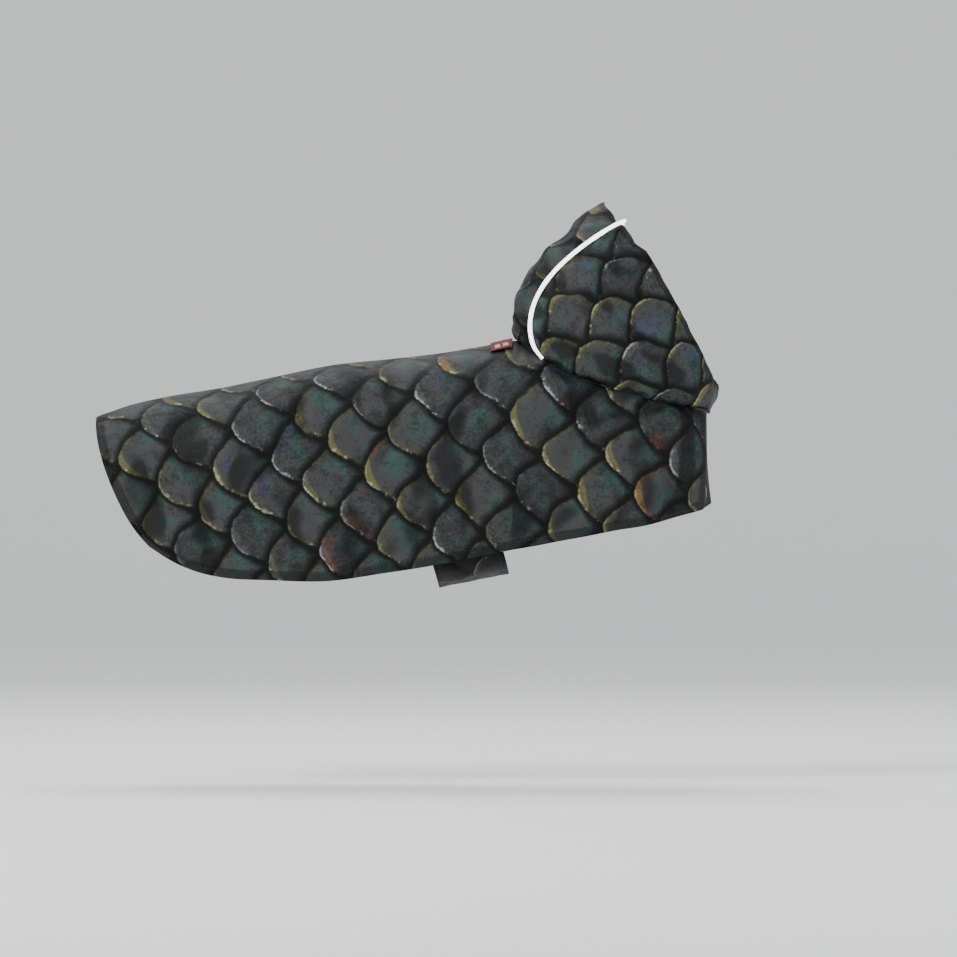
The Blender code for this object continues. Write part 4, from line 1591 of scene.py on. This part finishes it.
    def build(self) -> Object:
        """Builds the sheet, its edge, seams, creases and wall."""
        form = self.form
        gusset, left = self.part is HoodPart.GUSSET, self.part is HoodPart.LEFT
        first, last = self.angles()
        across = form.hood(np.linspace(first, last, 40), np.array([0.5]))[:, 0]
        width = float(np.linalg.norm(np.diff(across, axis=0), axis=1).sum())
        angle = first + (last - first) * spaced(width, self.step, self.fine, 8.0, 8.0)
        rise = self.gusset_rise if gusset else self.side_rise
        up = spaced(rise, self.step, self.fine, 10.0, 8.0)
        angle, sink = self.with_side_allowances(angle)
        grid = form.hood(angle, up)
        grid[:, 0] += unit(grid[:, 1] - grid[:, 0]) * self.seam_gap
        grid += grid_normals(grid) * sink[:, None, None]
        grid = np.concatenate([self.tucked_rows(angle, sink), grid], axis=1)
        if left:
            grid = mirrored(grid)
        piece = grid_piece("coat_" + self.part.value, grid, left)
        if gusset:
            lay_flat(piece, (-0.9, 0, 0.4), (-0.4, 0.0, -0.9), self.gusset_print_shift)
        else:
            facing = (0, 1 if left else -1, 0)
            lay_flat(piece, facing, (-0.588, 0.0, 0.809), self.side_print_shift)

        seam_column = len(self.allowance)
        cut = grid[sink == 0][:, seam_column:]
        points = grid.reshape(-1, 3)
        from_opening, along_opening = Line(cut[:, -1]).measure(points)
        from_neck, along_neck = Line(cut[:, 0]).measure(points)
        if gusset:
            a = points[:, 1]
            b = np.broadcast_to(lengths_along(grid[len(angle) // 2]), grid.shape[:2]).ravel()
            move = crease_height(self.gusset_creases, a, b)
        else:
            a, b = points[:, 0], points[:, 2]
            wander = Ripple(44 if left else 43, 40.0, 90.0, 8)
            move_a, move_b = (self.side_wander * wander.at(*pair) for pair in ((a, b), (b, a)))
            move = crease_height(self.side_creases, a + move_a, b + move_b)
        seed = {HoodPart.GUSSET: 61, HoodPart.RIGHT: 67, HoodPart.LEFT: 71}[self.part]
        folds = self.gusset_folds if gusset else self.side_folds
        large = folds * Ripple(seed, 22.0, 60.0).at(a, b)
        move = move + large + self.small_folds * Ripple(seed + 1, 10.0, 22.0).at(a, b)
        total = move + self.edge.height(from_opening, along_opening)
        total = total + self.seam.height(from_neck, along_neck)
        near = from_neck
        for join in (Line(cut[0]), Line(cut[-1])):
            from_join, along_join = join.measure(points)
            total = total * between(from_join, -1.5, 6.0) + self.seam.height(from_join, along_join)
            near = np.minimum(near, from_join)
        total = (total.reshape(grid.shape[:2]) * (np.arange(grid.shape[1]) >= seam_column)).ravel()
        points = pushed_out(piece, points, total)
        forward = np.array([math.cos(self.opening_lean), 0.0, math.sin(self.opening_lean)])
        ripple = self.opening_ripple * Ripple(88, 22.0, 46.0, 9).at(b, points[:, 1])
        wave = np.interp(points[:, 2], *np.array(self.opening_line).T) + ripple
        points = points + (wave * between(from_opening, self.opening_zone, 0.0))[:, None] * forward
        # Painted shade: the fold attribute darkens the troughs and bands along the hood's seams.
        shade = self.seam_shade_depth * bell(near, self.seam_shade)
        fold = np.clip(move / self.deep_fold, -1, 1) - shade
        finish_sheet(piece, points, self.edge.mask(from_opening), fold, self.wall, 0.28)
        if not gusset:
            self.press_throat(piece)
        return piece

    def press_throat(self, piece: Object) -> None:
        """Presses the neck seam's end at the throat flat, so that no layer stands out there."""
        points = np.array([v.co for v in piece.data.vertices]) / MM
        front, _, height = self.form.neck_seam(np.array([math.pi]))[0]
        limit = front - 0.4 + 1.6 * between(points[:, 2], height + 0.2, height + 1.8)
        low = points[:, 2] < height + 2.0
        points[low, 0] = np.minimum(points[low, 0], limit[low])
        place_corners(piece, points)
        piece.data.update()

    def stitch_line(self) -> np.ndarray:
        """A row of points for the stitching of the face opening."""
        first, last = self.angles()
        angle = np.linspace(first, last, 90)
        ends = self.form.hood(angle, np.array([0.97, 1.0]))
        line = ends[:, 1] + unit(ends[:, 0] - ends[:, 1]) * self.edge.stitch_at
        return mirrored(line) if self.part is HoodPart.LEFT else line


@dataclass
class HoodPiping:
    """A reflective corded edge in the seam between gusset and side panel."""

    form: CoatForm
    left: bool
    radius: float = 1.8
    lift: float = 0.5
    tip: float = 4.0
    end_share: float = 0.72
    uneven: float = 0.22

    def build(self) -> Object:
        """Builds the cord as a bevelled curve and turns it into a mesh."""
        angles = math.radians(self.form.piped_seam_angle) + np.array([-0.01, 0.0, 0.01])
        behind, seam, before = self.form.hood(angles, np.linspace(0.0, 1.0, 46))
        normals = unit(np.cross(before - behind, np.gradient(seam, axis=0)))
        path = seam + normals * (self.radius + self.lift)
        last = path[-1] - path[-2]
        tip = path[-1] + last / np.linalg.norm(last) * self.tip
        path = np.concatenate([path, (path[-1:] + tip) / 2, tip[None]])
        wobble = Ripple(17 if self.left else 13, 14.0, 40.0, 8)
        marks = np.arange(len(path)) * 3.2
        path[:, 1] += self.uneven * wobble.at(marks, marks * 0.3)
        if self.left:
            path = mirrored(path)
        name = "coat_hood_piping_left" if self.left else "coat_hood_piping_right"
        curve = bpy.data.curves.new(name, "CURVE")
        curve.dimensions = "3D"
        curve.bevel_depth = self.radius * MM
        curve.bevel_resolution = 4
        curve.use_fill_caps = True
        spline = curve.splines.new("NURBS")
        spline.points.add(len(path) - 1)
        for i, (point, place) in enumerate(zip(spline.points, path)):
            point.co = (*(place * MM), 1)
            from_end = min(i, len(path) - 1 - i)
            full = self.end_share + (1 - self.end_share) * min(from_end / 2, 1)
            point.radius = full + 0.03 * float(wobble.at(marks[i], 7.0))
        spline.use_endpoint_u = True
        spline.order_u = 3
        spline.resolution_u = 3
        piece = bpy.data.objects.new(name, curve)
        bpy.context.scene.collection.objects.link(piece)
        only(piece)
        bpy.ops.object.convert(target="MESH")
        piece = bpy.context.active_object
        bpy.ops.object.mode_set(mode="EDIT")
        bpy.ops.mesh.select_all(action="SELECT")
        bpy.ops.mesh.normals_make_consistent(inside=False)
        bpy.ops.object.mode_set(mode="OBJECT")
        bpy.ops.object.shade_smooth_by_angle(angle=math.radians(50))
        return piece


@dataclass
class BellyStrap:
    """The strap that goes from inside one hem, under the belly, to inside the other."""

    form: CoatForm
    name: str = "coat_belly_strap"
    width: float = 60.5
    front_x: float = 21.0
    under_hem: float = 38.3
    drop: float = 19.5
    slant: float = 5.2
    inset: float = 2.2
    hidden_z: tuple[float, float] = (-186.0, -178.0)
    shaded_z: tuple[float, float] = (-192.0, -176.0)
    shade_depth: float = 0.6
    hem_shade: float = 0.6
    deep_fold: float = 1.6
    folds: float = 0.3
    flat_power: float = 0.8
    fall_power: float = 1.1
    wall: float = 1.3
    hem: Hem = Hem(width=6.0, rise=0.35, stitch_at=4.2, stitch_dent=0.3, pucker=0.2, seed=33)

    def half_line(self, x: float) -> np.ndarray:
        """The strap's outer face at one x.

        Args:
            x: place along the body in mm.

        Returns:
            Points in mm from the strap's right end to the middle of the belly.
        """
        share = 1 - self.under_hem / self.form.side_length * (1 - np.linspace(0, 1, 14))
        points, normals = self.form.side_and_normals(np.array([self.form.place_at_hem(x)]), share)
        points = points[0] - self.inset * normals[0]
        start = points[-1]
        turn = math.pi / 2 * np.linspace(0, 1, 25)[1:]
        y = start[1] * np.maximum(np.cos(turn), 0) ** self.flat_power
        z = start[2] - self.drop * np.sin(turn) ** self.fall_power
        below = np.stack([start[0] + self.slant * np.sin(turn), y, z], axis=1)
        return np.concatenate([points, below])

    def build(self) -> Object:
        """Builds the sheet, its edges and its wall."""
        xs = self.front_x - self.width * (1 - spaced(self.width, 3.0, 1.2, 7.0, 7.0))
        halves = np.stack([self.half_line(float(x)) for x in xs])
        grid = np.concatenate([halves, mirrored(halves[:, -2::-1])], axis=1)
        piece = grid_piece(self.name, grid, True)
        lay_flat(piece, (0, 0, -1), (-1.0, 0.0, 0.0), (0.002, 0.009))
        points = grid.reshape(-1, 3)
        total = self.folds * Ripple(52, 16.0, 50.0).at(points[:, 0], points[:, 1])
        mask = np.zeros(len(points))
        for row in (Line(grid[0]), Line(grid[-1])):
            distance, along = row.measure(points)
            total = total + self.hem.height(distance, along)
            mask = np.maximum(mask, self.hem.mask(distance))
        total = total * (1 - between(points[:, 2], *self.hidden_z))
        points = pushed_out(piece, points, total)
        # Painted shade: the fold attribute darkens the strap's upper part, where it goes in under the
        # hem, and its troughs.
        shade = self.shade_depth * between(points[:, 2], *self.shaded_z)
        fold = np.clip(total / self.deep_fold, -1, 1) - shade
        finish_sheet(piece, points, self.hem_shade * mask, fold, self.wall)
        return piece

    def stitch_lines(self) -> list[np.ndarray]:
        """Rows of points for the stitching along both edges."""
        lines = []
        for x in (self.front_x - self.hem.stitch_at, self.front_x - self.width + self.hem.stitch_at):
            half = self.half_line(x)[12:]
            lines.append(np.concatenate([half, mirrored(half[-2::-1])]))
        return lines


@dataclass
class BackLabel:
    """A small plain label, folded at its ends and sewn across the back behind the hood."""

    form: CoatForm
    name: str = "coat_back_label"
    length: float = 64.0
    width: float = 17.0
    lift: float = 1.3
    front_x: float = 26.0
    stitch_at: float = 2.0
    curl: float = 0.9
    curl_share: float = 0.25
    curl_zone: tuple[float, float] = (22.0, 31.0)
    end_ridge: float = 0.35
    wall: float = 0.8

    def build(self) -> Object:
        """Builds the sheet and its wall."""
        rows = []
        sides = np.linspace(-0.5, 0.5, 65) * self.length
        share = np.abs(sides) / self.form.side_length
        order = np.argsort(share)
        for x in self.front_x - self.width * (1 - spaced(self.width, 1.0, 0.6, 1.8, 1.8)):
            place = np.array([self.form.place_at_ridge(float(x))])
            points = np.empty((len(sides), 3))
            points[order] = self.form.side(place, share[order])[0]
            points[:, 1] = np.where(sides > 0, np.abs(points[:, 1]), -np.abs(points[:, 1]))
            rows.append(points)
        grid = np.stack(rows)
        piece = grid_piece(self.name, grid, False)
        lay_flat(piece, (0, 0, 1), (-1.0, 0.0, 0.0), (0.0, 0.0))
        points = grid.reshape(-1, 3)
        side = np.abs(points[:, 1])
        waves = Ripple(91, 9.0, 22.0, 6).at(points[:, 0], points[:, 1])
        curl = self.curl * between(side, *self.curl_zone) * waves
        ridge = self.end_ridge * bell(side - self.length / 2 + self.stitch_at, 1.2)
        normals = np.array([v.normal for v in piece.data.vertices])
        normals[:, 2] = np.abs(normals[:, 2])
        rise = self.lift + self.curl_share * curl + ridge
        place_corners(piece, points + normals * rise[:, None])
        give_wall(piece, self.wall, 0.22)
        return piece

    def stitch_lines(self) -> list[np.ndarray]:
        """Rows of points for the stitching at both ends."""
        front = self.form.place_at_ridge(self.front_x - 1.0)
        back = self.form.place_at_ridge(self.front_x - self.width + 1.0)
        share = np.array([0.0, (self.length / 2 - self.stitch_at) / self.form.side_length])
        line = self.form.side(np.linspace(back, front, 20), share)[:, 1]
        line = line + np.array([0.0, 0.0, self.lift])
        return [line, mirrored(line)]


@dataclass
class Raincoat:
    """The whole coat."""

    form: CoatForm
    groups: Groups

    def build(self) -> None:
        """Builds and dresses every piece, and logs the face counts of the sheets."""
        body_cloth = PrintedCloth("printed_cloth_body", 3.0).material(self.groups)
        hood_cloth = PrintedCloth("printed_cloth_hood", 8.0, print_scale=1.1).material(self.groups)
        # The strap's cloth is the print darkened to 0.35: painted shade for the strap lying under the
        # belly.
        shaded_strap_cloth = PrintedCloth("printed_cloth_strap", 5.0, 0.35).material(self.groups)
        inside = ClothBack().material(self.groups)
        tape = ReflectiveTape().material(self.groups)
        label_cloth = LabelWeave().material(self.groups)
        black = SewingThread("black_thread", (0.03, 0.031, 0.033), (0.01, 0.01, 0.011))
        black = black.material(self.groups)
        red = SewingThread("red_thread", (0.3, 0.03, 0.035), (0.14, 0.012, 0.015))
        red = red.material(self.groups)

        panel = BodyPanel(self.form)
        body = self.sheet(panel.build(), body_cloth, inside, Slot.CLOTH, "body")
        sewing = self.sew(Stitching("coat_hem_stitching"), panel.stitch_lines(), body, black, Slot.CLOTH)
        self.declare(body, (0.44, 0.61), 0.189, [sewing], ["belly_strap"])

        panels = [HoodPanel(self.form, part) for part in HoodPart]
        hood = [self.sheet(p.build(), hood_cloth, inside, Slot.CLOTH, p.part.value) for p in panels]
        rows = []
        for piece, p in zip(hood, panels):
            stitching = Stitching(piece.name + "_stitching", 2.5, 0.9, 0.42)
            rows.append(self.sew(stitching, [p.stitch_line()], piece, black, Slot.CLOTH))
        cuts = (((0.127, 0.158), 0.0156), ((0.137, 0.216), 0.0182), ((0.137, 0.216), 0.0182))
        for piece, sewing, (flat, area) in zip(hood, rows, cuts):
            self.declare(piece, flat, area, [sewing], [body.name])

        for left in (False, True):
            piping = HoodPiping(self.form, left).build()
            dress(piping, [tape])
            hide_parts(piping.name.removeprefix("coat_"))

        strap = BellyStrap(self.form)
        piece = self.sheet(strap.build(), shaded_strap_cloth, inside, Slot.CLOTH, "belly_strap")
        sewing = Stitching("coat_strap_stitching")
        sewing = self.sew(sewing, strap.stitch_lines(), piece, black, Slot.CLOTH)
        self.declare(piece, (0.067, 0.198), 0.0118, [sewing], [body.name])

        label = BackLabel(self.form)
        piece = self.sheet(label.build(), label_cloth, label_cloth, Slot.LABEL, "back_label")
        sewing = Stitching("coat_label_stitching", 1.6, 0.5, 0.3)
        sewing = self.sew(sewing, label.stitch_lines(), piece, red, Slot.LABEL)
        self.declare(piece, (0.018, 0.066), 0.00118, [sewing], [body.name], held="laid")

    @staticmethod
    def sheet(piece: Object, face: Material, back: Material, slot: Slot, node: str) -> Object:
        """Dresses a sheet and lets it stand for a node.

        Args:
            piece: the sheet.
            face: its outer finish, which its edges have too.
            back: its inner finish.
            slot: the record's material slot; not used.
            node: the solid's name.

        Returns:
            The sheet.
        """
        dress(piece, [face, back, face])
        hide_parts(node)
        return piece

    @staticmethod
    def sew(
        stitching: Stitching, lines: Sequence[np.ndarray], ground: Object, thread: Material, slot: Slot
    ) -> Object:
        """Sews rows of stitches on a finished piece.

        Args:
            stitching: the kind of stitch.
            lines: rows of points in mm.
            ground: the piece.
            thread: the thread's finish.
            slot: the record's material slot; not used.

        Returns:
            The stitches as one dressed piece.
        """
        made = stitching.build(lines, tree_of(ground))
        dress(made, [thread])
        return made

    @staticmethod
    def declare(
        piece: Object, flat: tuple[float, float], area: float, with_pieces: list[Object],
        rests_on: list[str], held: str = "draped",
    ) -> None:
        """Logs a sheet's number of faces.

        Args:
            piece: the sheet.
            flat: width and length of its cut in metres; not used.
            area: area of its cut in square metres; not used.
            with_pieces: the sewing on it; not used.
            rests_on: what it lies on or hangs from; not used.
            held: how it is held; not used.
        """
        LOG.info("%s: %d faces", piece.name, len(piece.data.polygons))


# ------------------------------------------------------------------ studio


@dataclass
class Studio:
    """A pale floor that sweeps up behind, soft lamps and the camera."""

    groups: Groups
    floor_z: float = -369.6
    paper_size: tuple[float, float] = (18.0, 15.0)
    paper_y: float = -1.5
    sweep_radius: float = 1.2
    sweep_steps: int = 8
    backdrop_height: float = 5.0
    air: tuple[float, float, float, float] = (0.95, 0.96, 1.0, 1.0)
    air_strength: float = 0.8
    aim: tuple[float, float, float] = (0.0, 0.0, -0.08)
    image_width: float = 803.9
    middle: tuple[float, float] = (-1.3, -110.5)
    near_side_y: float = -45.0
    camera_distance: float = 6000.0
    sensor: float = 36.0

    def build(self) -> None:
        """Builds floor, lamps, sky and camera."""
        self.floor()
        self.lamp("key", (-1.5, -2.0, 1.7), 1.1, 62.0)
        self.lamp("fill", (1.9, -2.1, 0.4), 1.6, 16.0)
        self.lamp("top", (-0.2, 0.9, 1.9), 1.4, 34.0)
        world = bpy.data.worlds.new("studio_air")
        world.use_nodes = True
        air = world.node_tree.nodes["Background"]
        Tree(world.node_tree).feed(air, {0: self.air, 1: self.air_strength})
        bpy.context.scene.world = world
        self.camera()

    def floor(self) -> None:
        """A sheet of paper: flat under the coat and curved up behind it."""
        bpy.ops.object.select_all(action="DESELECT")
        bpy.ops.mesh.primitive_plane_add(size=1.0, location=(0, 0, self.floor_z * MM))
        paper = bpy.context.active_object
        paper.name = "studio_floor"
        paper.scale = (*self.paper_size, 1.0)
        bpy.ops.object.transform_apply(location=True, rotation=True, scale=True)
        paper.data.transform(Matrix.Translation((0, self.paper_y, 0)))
        mesh = paper.data
        back = {v.index for v in mesh.vertices if v.co.y > 0}
        edit_edges(mesh, {edge.index for edge in mesh.edges if back.issuperset(edge.vertices)})
        turns = np.linspace(0.0, math.pi / 2, self.sweep_steps + 1)
        curve = self.sweep_radius * np.stack([np.sin(turns), 1 - np.cos(turns)], axis=1)
        for y, z in [*np.diff(curve, axis=0).tolist(), (0.0, self.backdrop_height)]:
            bpy.ops.mesh.extrude_region_move(TRANSFORM_OT_translate={"value": (0.0, y, z)})
        bpy.ops.object.mode_set(mode="OBJECT")
        mesh.shade_smooth()
        paper.data.materials.append(StudioPaper().material(self.groups))

    def lamp(self, name: str, place: tuple[float, float, float], size: float, power: float) -> None:
        """A square soft lamp that points at the coat.

        Args:
            name: its name.
            place: where it stands, in metres.
            size: length of its sides in metres.
            power: in watts.
        """
        light = bpy.data.lights.new("studio_" + name, "AREA")
        light.size = size
        light.energy = power
        lamp = bpy.data.objects.new(light.name, light)
        lamp.location = place
        lamp.rotation_mode = "QUATERNION"
        lamp.rotation_quaternion = (Vector(self.aim) - Vector(place)).to_track_quat("-Z", "Y")
        bpy.context.scene.collection.objects.link(lamp)

    def camera(self) -> None:
        """A long lens square to the coat's right side."""
        data = bpy.data.cameras.new("studio_camera")
        data.sensor_width = self.sensor
        depth = self.camera_distance + self.near_side_y
        data.lens = self.sensor * depth / self.image_width
        data.clip_start, data.clip_end = 0.1, 60.0
        camera = bpy.data.objects.new("studio_camera", data)
        camera.location = (self.middle[0] * MM, -self.camera_distance * MM, self.middle[1] * MM)
        camera.rotation_euler = (math.pi / 2, 0, 0)
        bpy.context.scene.collection.objects.link(camera)
        bpy.context.scene.camera = camera


def main() -> None:
    """Builds the coat, then the studio."""
    logging.basicConfig(level=logging.INFO, format="%(message)s")
    groups = Groups(ScalePrint().group(), weave_group(), creases_group())
    Raincoat(CoatForm(), groups).build()
    Studio(groups).build()


if __name__ == "__main__":
    main()
